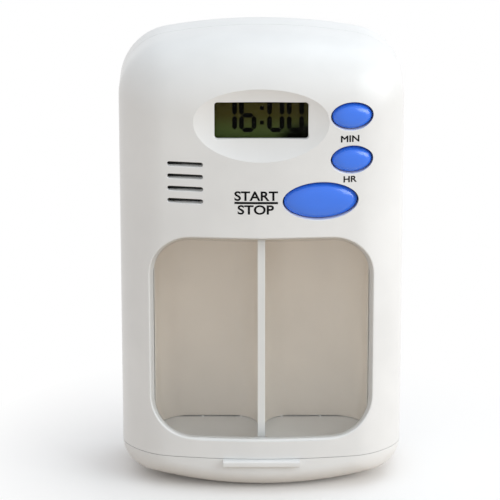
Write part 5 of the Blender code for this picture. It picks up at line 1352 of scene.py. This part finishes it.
def make_lens(m):
    """Clear lens with eased edges, glued behind the display's opening."""
    def outline(grow):
        return centred_outline(
            m.display_level, m.display_width + 2 * (m.lens_margin + grow),
            m.display_window_height + 2 * (m.lens_margin + grow), m.display_window_corner)

    ease = m.lens_ease
    front = m.pad_back_y - m.lens_thickness
    layers = ((-ease, lambda x, z: front), (0.0, lambda x, z: front + ease),
              (0.0, lambda x, z: m.pad_back_y - ease), (-ease, lambda x, z: m.pad_back_y))
    return sunk_loft("display_window", outline, layers)


def make_panel(m):
    """Two sheets of glass with a step between them, and a film on the front one."""
    def sheet(name, side, foot, head, front, back):
        low = (-m.lcd_width / 2 + side, m.display_level - m.lcd_height / 2 + foot)
        high = (m.lcd_width / 2 - side, m.display_level + m.lcd_height / 2 - head)
        outline = rounded_box_outline(low, high, [m.least_radius] * 4, FILLET_STEPS)
        return extrusion(name, [outline], front, back)

    step, film = m.lcd_glass_step, m.lcd_film
    middle = (m.lcd_front_y + m.lcd_back_y) / 2
    return settle(join(
        sheet("liquid_crystal_panel", 0, 0, 0, middle, m.lcd_back_y),
        sheet("front_glass", step / 2, step, step / 2, m.lcd_front_y + film, middle + film),
        sheet("polarising_film", step, 1.5 * step, step, m.lcd_front_y, m.lcd_front_y + 2 * film)))


SEGMENTS = {
    "0": "abcdef", "1": "bc", "2": "abged", "3": "abgcd", "4": "fgbc",
    "5": "afgcd", "6": "afgedc", "7": "abc", "8": "abcdefg", "9": "abcdfg",
}
SEGMENT_ENDS = {
    "a": ((-1, 1), (1, 1)), "g": ((-1, 0), (1, 0)), "d": ((-1, -1), (1, -1)), "f": ((-1, 0), (-1, 1)),
    "b": ((1, 0), (1, 1)), "e": ((-1, -1), (-1, 0)), "c": ((1, -1), (1, 0)),
}


def segment_outline(m, letter, centre_x, centre_z):
    """Six-sided outline of one segment of a digit."""
    half = m.segment_width / 2
    reach = (m.digit_width / 2 - half, m.digit_height / 2 - half)
    start, end = (Vector((reach[0] * x, reach[1] * z)) for x, z in SEGMENT_ENDS[letter])
    along = (end - start).normalized()
    across = Vector((-along.y, along.x))
    start += along * m.segment_gap / 2
    end -= along * m.segment_gap / 2
    corners = (start, start + along * half + across * half, end - along * half + across * half,
               end, end - along * half - across * half, start + along * half - across * half)
    return [(centre_x + point.x, centre_z + point.y) for point in corners]


def make_digits(m):
    """The dark segments of the four digits and of the colon."""
    centre_z = m.display_level - m.digit_drop
    outlines = [segment_outline(m, letter, place, centre_z)
                for digit, place in zip(m.digits, m.digit_places) for letter in SEGMENTS[digit]]
    half = m.colon_dot / 2
    for side in (-1, 1):
        level = centre_z + side * m.colon_pitch / 2
        outlines.append([(m.colon_place - half, level - half), (m.colon_place + half, level - half),
                         (m.colon_place + half, level + half), (m.colon_place - half, level + half)])
    front = m.lcd_front_y - m.digit_rise
    return extrusion("display_digits", outlines, front, m.lcd_front_y + m.digit_rise / 4)


def make_key(m, name, x, z, half_width, half_height):
    """A domed key with a rounded edge, a flange behind its collar and a stem."""
    plane = key_plane(m, x, z)
    z -= m.key_sag
    steps = DOME_STEPS + FILLET_STEPS
    top = m.key_recess - m.key_crown
    height = m.key_crown + m.key_edge_drop
    rings = []
    for k in range(1, steps + 1):
        reach = math.sin(math.pi / 2 * k / steps)
        sink = top + height * (1 - math.sqrt(max(0.0, 1 - reach ** m.key_roundness)))
        rings.append(
            (half_width * reach, half_height * reach, lambda px, pz, sink=sink: plane(px, pz) + sink))
    flange_front = m.collar_back_y + m.fit_gap
    flange_back = flange_front + m.key_flange_thickness
    pad_front = m.board_front_y - m.fit_gap - m.key_travel - m.contact_pad_thickness
    stem_back = pad_front - m.fit_gap
    wide = half_width + m.key_flange_width
    high = half_height + m.key_flange_width
    stem = m.key_stem_radius
    for wide, high, level in (
            (half_width, half_height, flange_front), (wide, high, flange_front), (wide, high, flange_back),
            (stem, stem, flange_back), (stem, stem, stem_back)):
        rings.append((wide, high, lambda px, pz, level=level: level))
    return oval_solid(name + "_key_cap", (x, z), rings)


def make_battery_cap(m):
    """Round cap that a coin turns: eased rim, hub, two lugs under the cover, and a slot."""
    centre = (0, m.cell_level)
    profile = [
        (m.cap_hub_radius, m.cap_front_y), (m.cap_hub_radius, m.cap_hub_y), (m.cap_radius, m.cap_hub_y)]
    profile += [(m.cap_radius - sink, m.back_y - grow) for grow, sink in eased(m.cap_ease)]
    cap = turned("coin_cap", centre, profile)
    lugs = []
    for opposite in (0, 180):
        lugs.append(sector(centre, m.cap_hub_radius - m.cap_lug_reach, m.lug_radius, opposite,
                           math.degrees(m.cap_lug_angle)))
    join(cap, extrusion("cap_lugs", lugs, m.cap_front_y, m.cap_front_y + m.cap_lug_thickness))
    outline = slot_outline(centre, m.coin_slot_length / 2, m.coin_slot_width / 2)
    floor = m.back_y - m.coin_slot_depth
    layers = ((m.cap_ease, lambda x, z: m.behind_y), (m.cap_ease, lambda x, z: m.back_y),
              (0.0, lambda x, z: m.back_y - m.cap_ease), (0.0, lambda x, z: floor))
    return settle(cut(cap, sunk_loft("coin_slot", outline, layers)))


def printed_word(m, name, words, box):
    """A word, turned into a thin layer of ink that follows the front and fills a box."""
    form = BodyForm(m)
    left, right, low, high = box
    curve = bpy.data.curves.new(name, "FONT")
    curve.body = words
    curve.extrude = 1.0
    curve.bevel_depth = m.letter_weight
    curve.bevel_resolution = 0
    curve.resolution_u = LETTER_STEPS
    text = new_object(name + "_text", curve)
    mesh = evaluated_mesh(text)
    bpy.data.objects.remove(text)
    xs = [vertex.co.x for vertex in mesh.vertices]
    ys = [vertex.co.y for vertex in mesh.vertices]
    if not xs:
        raise RuntimeError("The word %s gave no letters" % words)
    wide = (right - left) / (max(xs) - min(xs))
    tall = (high - low) / (max(ys) - min(ys))
    builder = bmesh.new()
    builder.from_mesh(mesh)
    bmesh.ops.remove_doubles(builder, verts=builder.verts, dist=LETTER_WELD)
    for vertex in builder.verts:
        x = left + (vertex.co.x - min(xs)) * wide
        z = low + (vertex.co.y - min(ys)) * tall
        depth = form.surface_y(x, z)
        vertex.co = (x, depth - m.ink_rise if vertex.co.z > 0 else depth + m.ink_root, z)
    bpy.data.meshes.remove(mesh)
    return builder


def make_legends(m):
    """All printed words and the line between the two words of the long key."""
    whole = bmesh.new()
    for name, words, box in (
            ("minute_word", m.min_text, m.min_box), ("hour_word", m.hour_text, m.hour_box),
            ("start_word", m.start_text, m.start_box), ("stop_word", m.stop_text, m.stop_box)):
        builder = printed_word(m, name, words, box)
        part = bpy.data.meshes.new(name)
        builder.to_mesh(part)
        builder.free()
        whole.from_mesh(part)
        bpy.data.meshes.remove(part)
    form = BodyForm(m)
    left, right = m.start_box[:2]
    rows = []
    for z, side in ((m.line_low, -m.ink_rise), (m.line_high, -m.ink_rise),
                    (m.line_high, m.ink_root), (m.line_low, m.ink_root)):
        places = [left + (right - left) * k / FACE_COLUMNS for k in range(FACE_COLUMNS + 1)]
        rows.append([whole.verts.new((x, form.surface_y(x, z) + side, z)) for x in places])
    for first, second in zip(rows, rows[1:] + rows[:1]):
        for k in range(FACE_COLUMNS):
            whole.faces.new((first[k], first[k + 1], second[k + 1], second[k]))
    for k in (0, FACE_COLUMNS):
        whole.faces.new([row[k] for row in rows])
    return add_object("printed_legends", whole)


def link(source, output, target, entry):
    """Join an output of one node to an input of another, each by its name or its place."""
    source.id_data.links.new(source.outputs[output], target.inputs[entry])


def shaded(value, factor):
    return tuple(min(1.0, part * factor) for part in value) + (1.0,)


def middle_of(thing):
    """Middle of an object's mesh, which lies in the frame's own coordinates."""
    return (Vector(thing.bound_box[0]) + Vector(thing.bound_box[6])) / 2


def fresh_material(thing, name, tint, cover=1.0):
    """Give every face of a piece one new material, and return its empty node tree."""
    material = bpy.data.materials.new(name)
    material.use_nodes = True
    material.node_tree.nodes.clear()
    material.diffuse_color = shaded(tint, 1)[:3] + (cover,)
    thing.data.materials.clear()
    thing.data.materials.append(material)
    return material.node_tree


def add_node(tree, kind, column, row=0, **inputs):
    """A shader node with its sockets set by name."""
    node = tree.nodes.new(kind)
    node.location = (NODE_STEP * column, -NODE_STEP * row)
    for name, value in inputs.items():
        node.inputs[name.replace("_", " ")].default_value = value
    return node


def add_math(operation, column, first, second):
    """Two values, each given by a node and its output, joined by an operation."""
    node = add_node(first[0].id_data, "ShaderNodeMath", column)
    node.operation = operation
    link(*first, node, 0)
    link(*second, node, 1)
    return node


def map_range(source, output, column, row, **ends):
    """A value carried over from one range to another."""
    node = add_node(source.id_data, "ShaderNodeMapRange", column, row, **ends)
    link(source, output, node, "Value")
    return node


def ramp_between(source, output, column, row, colours, ends=(0.35, 0.65)):
    """Two colours and the blend between them, by a value."""
    node = add_node(source.id_data, "ShaderNodeValToRGB", column, row)
    for element, shade, place in zip(node.color_ramp.elements, colours, ends):
        element.position = place
        element.color = shade
    link(source, output, node, "Fac")
    return node


def own_place(tree, centre, row=0):
    """The object's own coordinates, measured from a centre."""
    place = add_node(tree, "ShaderNodeTexCoord", 0, row)
    mapping = add_node(tree, "ShaderNodeMapping", 1, row, Location=tuple(-value for value in centre))
    link(place, "Object", mapping, "Vector")
    return mapping


def centred_noise(tree, centre, cells, row, detail=3.0):
    """Noise about a centre, with so many cells to the metre."""
    noise = add_node(tree, "ShaderNodeTexNoise", 2, row, Scale=cells, Detail=detail)
    noise.inputs["Roughness"].default_value = NOISE_ROUGHNESS
    link(own_place(tree, centre, row), "Vector", noise, "Vector")
    return noise


def add_relief(noise, shader, row, strength):
    """Let a noise make a shader's surface slightly uneven."""
    relief = add_node(noise.id_data, "ShaderNodeBump", 4, row, Strength=strength, Distance=RELIEF_DEPTH)
    link(noise, "Fac", relief, "Height")
    link(relief, "Normal", shader, "Normal")


def colour_mix(tree, column, row, blend):
    """A node that mixes two colours, with its two colour inputs and its colour output."""
    mix = add_node(tree, "ShaderNodeMix", column, row)
    mix.data_type = "RGBA"
    mix.blend_type = blend
    sockets = [socket for socket in (*mix.inputs, *mix.outputs) if socket.type == "RGBA"]
    return mix, *sockets


def mixed_output(kind, column, share, first, second):
    """Mix two shaders by a value and hand them to the output."""
    tree = first.id_data
    mix = add_node(tree, "ShaderNodeMixShader", column)
    link(*share, mix, "Fac")
    link(first, 0, mix, 1)
    link(second, 0, mix, 2)
    link(mix, "Shader", add_node(tree, kind, column + 1), "Surface")


def solid_finish(thing, name, tint, roughness, metallic=0.0, spread=0.03, grain=900.0, bump=0.02,
                 sheen=0.5):
    """A moulded or metal finish with a faint change of colour, gloss and level."""
    tree = fresh_material(thing, name, tint)
    centre = middle_of(thing)
    shader = add_node(
        tree, "ShaderNodeBsdfPrincipled", 6, 0, Metallic=metallic, Roughness=roughness,
        Specular_IOR_Level=sheen)
    slow = centred_noise(tree, centre, grain / CLOUD_GRAINS, 0)
    ramp = ramp_between(slow, "Fac", 3, 0, (shaded(tint, 1 - spread), shaded(tint, 1 + spread)))
    link(ramp, "Color", shader, "Base Color")
    gloss = map_range(slow, "Fac", 4, 1, To_Min=roughness - GLOSS_SPREAD, To_Max=roughness + GLOSS_SPREAD)
    link(gloss, "Result", shader, "Roughness")
    add_relief(centred_noise(tree, centre, grain, 2, 2.0), shader, 2, bump)
    link(shader, "BSDF", add_node(tree, "ShaderNodeOutputMaterial", 8), "Surface")
    return thing


def clear_finish(thing, name, tint, straight):
    """Clear plastic: it lets light through, mirrors more at a slant and is darker seen edge on."""
    tree = fresh_material(thing, name, tint, CLEAR_COVER)
    facing = add_node(tree, "ShaderNodeLayerWeight", 1, 0, Blend=0.5)
    through = add_node(tree, "ShaderNodeBsdfTransparent", 4, 0)
    ramp = ramp_between(facing, "Facing", 2, 0, (shaded(tint, 1), shaded(tint, CLEAR_EDGE)), (0.5, 1.0))
    link(ramp, "Color", through, "Color")
    mirror = add_node(tree, "ShaderNodeBsdfGlossy", 4, 1, Roughness=CLEAR_ROUGHNESS)
    add_relief(centred_noise(tree, middle_of(thing), 60.0, 2), mirror, 3, 0.02)
    power = add_node(tree, "ShaderNodeMath", 2, 1)
    power.operation = "POWER"
    power.inputs[1].default_value = SLANT_POWER
    link(facing, "Facing", power, 0)
    share = map_range(power, "Value", 3, 1, To_Min=straight, To_Max=1.0)
    mixed_output("ShaderNodeOutputMaterial", 6, (share, "Result"), through, mirror)
    return thing


def painted_light_in_front(thing, tint, front, depth):
    """Lighten a piece's finish towards its front, over a depth: painted light that falls in from the front.
    """
    tree = thing.data.materials[0].node_tree
    centre = middle_of(thing)
    shader = next(node for node in tree.nodes if node.type == "BSDF_PRINCIPLED")
    base = shader.inputs["Base Color"].links[0].from_socket
    split = add_node(tree, "ShaderNodeSeparateXYZ", 2, 4)
    link(own_place(tree, centre, 4), "Vector", split, "Vector")
    back = map_range(split, "Y", 3, 4, From_Min=front - centre.y, From_Max=front - centre.y + depth)
    mix, first, second, blended = colour_mix(tree, 5, 4, "MIX")
    first.default_value = tint
    link(back, "Result", mix, "Factor")
    tree.links.new(base, second)
    tree.links.new(blended, shader.inputs["Base Color"])
    return thing


def panel_finish(thing, m):
    """Reflective display: greener below, browner above, and a painted dark reflection towards its lower
    right corner.
    """
    tree = fresh_material(thing, "Display Panel", m.lcd_low)
    centre = (0, m.lcd_front_y, m.display_level)
    half_width = m.display_width / 2
    half_height = m.display_window_height / 2
    split = add_node(tree, "ShaderNodeSeparateXYZ", 2)
    link(own_place(tree, centre), "Vector", split, "Vector")
    up = map_range(split, "Z", 3, 0, From_Min=-half_height, From_Max=half_height)
    # Painted reflection: the display is darkened towards its lower right corner.
    start_x, start_z = PANEL_REFLECTION_START
    across = map_range(split, "X", 3, 1, From_Min=half_width * start_x, From_Max=half_width)
    down = map_range(split, "Z", 3, 2, From_Min=-half_height * start_z, From_Max=-half_height)
    corner = add_math("MULTIPLY", 4, (across, "Result"), (down, "Result"))
    ramp = ramp_between(up, "Result", 4, 0, (shaded(m.lcd_low, 1), shaded(m.lcd_high, 1)), PANEL_BLEND)
    tones = (shaded(WHITE, 1), shaded(m.lcd_corner, 1))
    shade = ramp_between(corner, "Value", 5, 1, tones, PANEL_REFLECTION_BLEND)
    mix, first, second, blended = colour_mix(tree, 6, 0, "MULTIPLY")
    mix.inputs["Factor"].default_value = 1.0
    tree.links.new(ramp.outputs["Color"], first)
    tree.links.new(shade.outputs["Color"], second)
    shader = add_node(tree, "ShaderNodeBsdfPrincipled", 8, 0, Roughness=0.3, Specular_IOR_Level=0.06)
    tree.links.new(blended, shader.inputs["Base Color"])
    sparkle = centred_noise(tree, centre, PANEL_GRAIN, 4)
    gloss = map_range(sparkle, "Fac", 4, 4, To_Min=PANEL_ROUGHNESS[0], To_Max=PANEL_ROUGHNESS[1])
    link(gloss, "Result", shader, "Roughness")
    link(shader, "BSDF", add_node(tree, "ShaderNodeOutputMaterial", 10), "Surface")
    return thing


def seat(piece, body, slot, *nodes):
    """Put a finished piece on its body in place of its packed nodes."""
    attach(piece, body)
    if nodes:
        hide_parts(*nodes)


class PILLBOX_OT_front_shell(bpy.types.Operator):
    """Build the front shell with its dish, key holes, speaker slots and window."""

    bl_idname = "pill_box.front_shell"
    bl_label = "Front Shell"

    def execute(self, context):
        m = Measures(context.scene)
        shell = solid_finish(make_front_shell(m), "White Front", m.white_plastic, 0.3)
        seat(shell, "housing", "white_plastic", "front_shell")
        # The black gauze is partly painted shade: it darkens the slots.
        gauze = solid_finish(make_gauze_and_shade(m), "Black Gauze", m.epoxy, 0.8, grain=6000.0, bump=0.5)
        seat(gauze, "housing", "silicone_rubber")
        return {"FINISHED"}


class PILLBOX_OT_rear_cover(bpy.types.Operator):
    """Build the rear cover with its battery well, screw sleeves and hinge knuckles."""

    bl_idname = "pill_box.rear_cover"
    bl_label = "Rear Cover"

    def execute(self, context):
        m = Measures(context.scene)
        cover = solid_finish(settle(make_rear_cover(m)), "White Rear", m.white_plastic, 0.32)
        seat(cover, "housing", "white_plastic", "rear_cover")
        return {"FINISHED"}


class PILLBOX_OT_bottom_lid(bpy.types.Operator):
    """Build the flip lid with its thumb tab, catches, ribs and hinge knuckles."""

    bl_idname = "pill_box.bottom_lid"
    bl_label = "Bottom Lid"

    def execute(self, context):
        m = Measures(context.scene)
        lid = solid_finish(settle(make_bottom_lid(m)), "White Lid", m.white_plastic, 0.3)
        seat(lid, "lid", "white_plastic", "bottom_lid")
        return {"FINISHED"}


class PILLBOX_OT_window(bpy.types.Operator):
    """Build the clear pane in the window and the two compartments behind it."""

    bl_idname = "pill_box.window"
    bl_label = "Window and Chamber"

    def execute(self, context):
        m = Measures(context.scene)
        pane = clear_finish(settle(make_window_pane(m)), "Clear Pane", m.pane_tint, PANE_MIRROR)
        seat(pane, "housing", "clear_plastic", "window_pane")
        # The chamber's beige is painted shade and warm bounce light.
        chamber = solid_finish(settle(make_pill_chamber(m)), "Chamber Plastic", m.chamber_plastic, 0.4)
        # Painted light: the chamber is lighter near the window and darker behind it.
        painted_light_in_front(chamber, shaded(m.white_plastic, CHAMBER_FRONT_PAINTED_LIGHT), m.front_y + m.chamber_front,
                       m.chamber_pale_depth)
        seat(chamber, "housing", "white_plastic", "pill_chamber")
        return {"FINISHED"}


class PILLBOX_OT_display(bpy.types.Operator):
    """Build the lens, the liquid-crystal panel and the digits it shows."""

    bl_idname = "pill_box.display"
    bl_label = "Display"

    def execute(self, context):
        m = Measures(context.scene)
        if len(m.digits) != len(m.digit_places) or not m.digits.isdigit():
            raise RuntimeError("The display needs four digits")
        lens = clear_finish(make_lens(m), "Clear Lens", m.lens_tint, LENS_MIRROR)
        seat(lens, "housing", "clear_plastic", "display_lens")
        seat(panel_finish(make_panel(m), m), "housing", "lcd_glass", "lcd_panel")
        digits = solid_finish(make_digits(m), "Display Segments", m.segments, 0.4, sheen=0.02)
        seat(digits, "housing", "lcd_glass")
        return {"FINISHED"}


class PILLBOX_OT_keys(bpy.types.Operator):
    """Build the three domed keys."""

    bl_idname = "pill_box.keys"
    bl_label = "Keys"

    def execute(self, context):
        m = Measures(context.scene)
        for key in m.keys:
            cap = solid_finish(make_key(m, *key), "Blue %s Key" % key[0].title(), m.blue_plastic, 0.2,
                               sheen=0.8, bump=0.01)
            seat(cap, key[0] + "_key", "blue_plastic", key[0] + "_button")
        return {"FINISHED"}


class PILLBOX_OT_legends(bpy.types.Operator):
    """Print the words by the keys on the front."""

    bl_idname = "pill_box.legends"
    bl_label = "Printed Words"

    def execute(self, context):
        m = Measures(context.scene)
        legends = solid_finish(make_legends(m), "Printing Ink", m.ink, 0.45, sheen=0.08)
        seat(legends, "housing", "white_plastic")
        return {"FINISHED"}


class PILLBOX_OT_battery_cap(bpy.types.Operator):
    """Build the round cap over the cell."""

    bl_idname = "pill_box.battery_cap"
    bl_label = "Battery Cap"

    def execute(self, context):
        m = Measures(context.scene)
        cap = solid_finish(make_battery_cap(m), "White Cap", m.white_plastic, 0.33)
        seat(cap, "battery_cap", "white_plastic", "battery_cap")
        return {"FINISHED"}


class PILLBOX_OT_inner_parts(bpy.types.Operator):
    """Give the packed pieces inside the box, and the hinge pin, their finishes."""

    bl_idname = "pill_box.inner_parts"
    bl_label = "Inner Parts"

    def execute(self, context):
        m = Measures(context.scene)
        finishes = {
            "white_plastic": dict(tint=m.white_plastic, roughness=0.32),
            "grey_plastic": dict(tint=m.grey_plastic, roughness=0.5),
            "silicone_rubber": dict(tint=m.rubber, roughness=0.7),
            "board_laminate": dict(tint=m.board, roughness=0.35, spread=0.12, grain=2500.0),
            "chip_epoxy": dict(tint=m.epoxy, roughness=0.25),
            "plated_steel": dict(tint=m.steel, roughness=0.28, metallic=1.0, grain=4000.0),
            "brass_sheet": dict(tint=m.brass, roughness=0.3, metallic=1.0, grain=3000.0),
            "piezo_ceramic": dict(tint=m.ceramic, roughness=0.5, metallic=0.4),
        }
        slots = {part["node"]: part["material_slot"] for part in frame["record"]["subparts"]}
        for name, node in sorted(frame["nodes"].items()):
            if node.hide_render:
                continue
            if slots.get(name) not in finishes:
                raise RuntimeError("There is no finish for the node %s" % name)
            solid_finish(node, "Finish of " + name, **finishes[slots[name]])
        return {"FINISHED"}


def aim(thing, place, target):
    """Stand a lamp or a camera at a place and turn it to a target."""
    thing.location = place
    thing.rotation_mode = "QUATERNION"
    thing.rotation_quaternion = (Vector(target) - Vector(place)).to_track_quat("-Z", "Y")


def add_lamp(name, place, target, power, width, tint):
    light = bpy.data.lights.new(name, "AREA")
    light.color = tint
    light.shape = "SQUARE"
    light.size = width
    light.energy = power
    lamp = new_object(name, light)
    aim(lamp, place, target)
    return lamp


def backdrop_share(tree, column):
    """One for the rays that see the backdrop: the camera's, and those mirrored or let through."""
    path = add_node(tree, "ShaderNodeLightPath", column)
    seen = add_math("MAXIMUM", column + 1, (path, "Is Camera Ray"), (path, "Is Glossy Ray"))
    return add_math("MAXIMUM", column + 2, (seen, "Value"), (path, "Is Transmission Ray"))


def floor_finish(floor, fade):
    """Pale floor that keeps the box's shadow and turns plain white away from it."""
    tree = fresh_material(floor, "Pale Floor", WHITE)
    length = add_node(tree, "ShaderNodeVectorMath", 2)
    length.operation = "LENGTH"
    link(own_place(tree, (0, 0, 0)), "Vector", length, 0)
    away = map_range(length, "Value", 3, 0, From_Min=fade / 2, From_Max=fade)
    sees = backdrop_share(tree, 1)
    blend = add_math("MULTIPLY", 5, (away, "Result"), (sees, "Value"))
    matt = add_node(tree, "ShaderNodeBsdfDiffuse", 5, 1)
    tone = ramp_between(sees, "Value", 4, 3, (FLOOR_LIT_TONE, FLOOR_SEEN_TONE), (0.0, 1.0))
    link(tone, "Color", matt, "Color")
    plain = add_node(tree, "ShaderNodeEmission", 5, 2, Strength=1.0)
    mixed_output("ShaderNodeOutputMaterial", 7, (blend, "Value"), matt, plain)


def make_world(strength):
    """Soft pale light from all round, plain white where it is looked at."""
    world = bpy.data.worlds.new("Pale Room")
    world.use_nodes = True
    tree = world.node_tree
    tree.nodes.clear()
    lit = add_node(tree, "ShaderNodeBackground", 4, 0, Color=ROOM_TONE, Strength=strength)
    seen = add_node(tree, "ShaderNodeBackground", 4, 1, Color=shaded(WHITE, 1), Strength=1.0)
    mixed_output("ShaderNodeOutputWorld", 5, (backdrop_share(tree, 0), "Value"), lit, seen)
    return world


class PILLBOX_OT_stage(bpy.types.Operator):
    """Set up the floor, the light and the camera."""

    bl_idname = "pill_box.stage"
    bl_label = "Floor, Light and Camera"

    def execute(self, context):
        scene = context.scene
        s = scene.pill_box_stage
        builder = bmesh.new()
        half = s.floor_size / 2
        corners = ((-half, -half), (half, -half), (half, half), (-half, half))
        builder.faces.new([builder.verts.new((x, y, 0)) for x, y in corners])
        floor = add_object("pale_floor", builder)
        floor_finish(floor, s.floor_fade)
        target = (0, s.target_depth, s.target_height)
        lamps = [add_lamp(name, place, target, getattr(s, power), width, tint)
                 for name, power, place, width, tint in LAMPS]
        scene.world = make_world(s.world_strength)
        camera = new_object("camera", bpy.data.cameras.new("camera"))
        camera.data.lens = s.lens
        camera.data.shift_x = s.shift_x
        camera.data.shift_y = s.shift_y
        camera.data.clip_start, camera.data.clip_end = CAMERA_REACH
        away = Vector((0, -math.cos(s.camera_elevation), math.sin(s.camera_elevation)))
        aim(camera, Vector(target) + s.camera_distance * away, target)
        scene.camera = camera
        scene.view_settings.view_transform = "Standard"
        if scene.camera is None or scene.world is None:
            raise RuntimeError("The stage has no camera or no world")
        return {"FINISHED"}


STEPS = (
    PILLBOX_OT_front_shell,
    PILLBOX_OT_rear_cover,
    PILLBOX_OT_bottom_lid,
    PILLBOX_OT_window,
    PILLBOX_OT_display,
    PILLBOX_OT_keys,
    PILLBOX_OT_legends,
    PILLBOX_OT_battery_cap,
    PILLBOX_OT_inner_parts,
    PILLBOX_OT_stage,
)


class PILLBOX_PT_panel(bpy.types.Panel):
    """Lists the steps that build the pill box, and its sizes."""

    bl_idname = "PILLBOX_PT_panel"
    bl_label = "Pill Box"
    bl_space_type = "VIEW_3D"
    bl_region_type = "UI"
    bl_category = "Pill Box"

    def draw(self, context):
        column = self.layout.column(align=True)
        for step in STEPS:
            column.operator(step.bl_idname)
        for attribute, settings in SETTINGS:
            box = self.layout.box()
            box.label(text=settings.__doc__.rstrip("."))
            group = getattr(context.scene, attribute)
            for name in settings.__annotations__:
                box.prop(group, name)


def register():
    for attribute, settings in SETTINGS:
        bpy.utils.register_class(settings)
        setattr(bpy.types.Scene, attribute, PointerProperty(type=settings))
    for step in STEPS:
        bpy.utils.register_class(step)
    bpy.utils.register_class(PILLBOX_PT_panel)


def unregister():
    bpy.utils.unregister_class(PILLBOX_PT_panel)
    for step in reversed(STEPS):
        bpy.utils.unregister_class(step)
    for attribute, settings in reversed(SETTINGS):
        delattr(bpy.types.Scene, attribute)
        bpy.utils.unregister_class(settings)


def main():
    """Build every piece, then the stage."""
    register()
    bpy.ops.pill_box.front_shell()
    bpy.ops.pill_box.rear_cover()
    bpy.ops.pill_box.bottom_lid()
    bpy.ops.pill_box.window()
    bpy.ops.pill_box.display()
    bpy.ops.pill_box.keys()
    bpy.ops.pill_box.legends()
    bpy.ops.pill_box.battery_cap()
    bpy.ops.pill_box.inner_parts()
    bpy.ops.pill_box.stage()


if __name__ == "__main__":
    main()
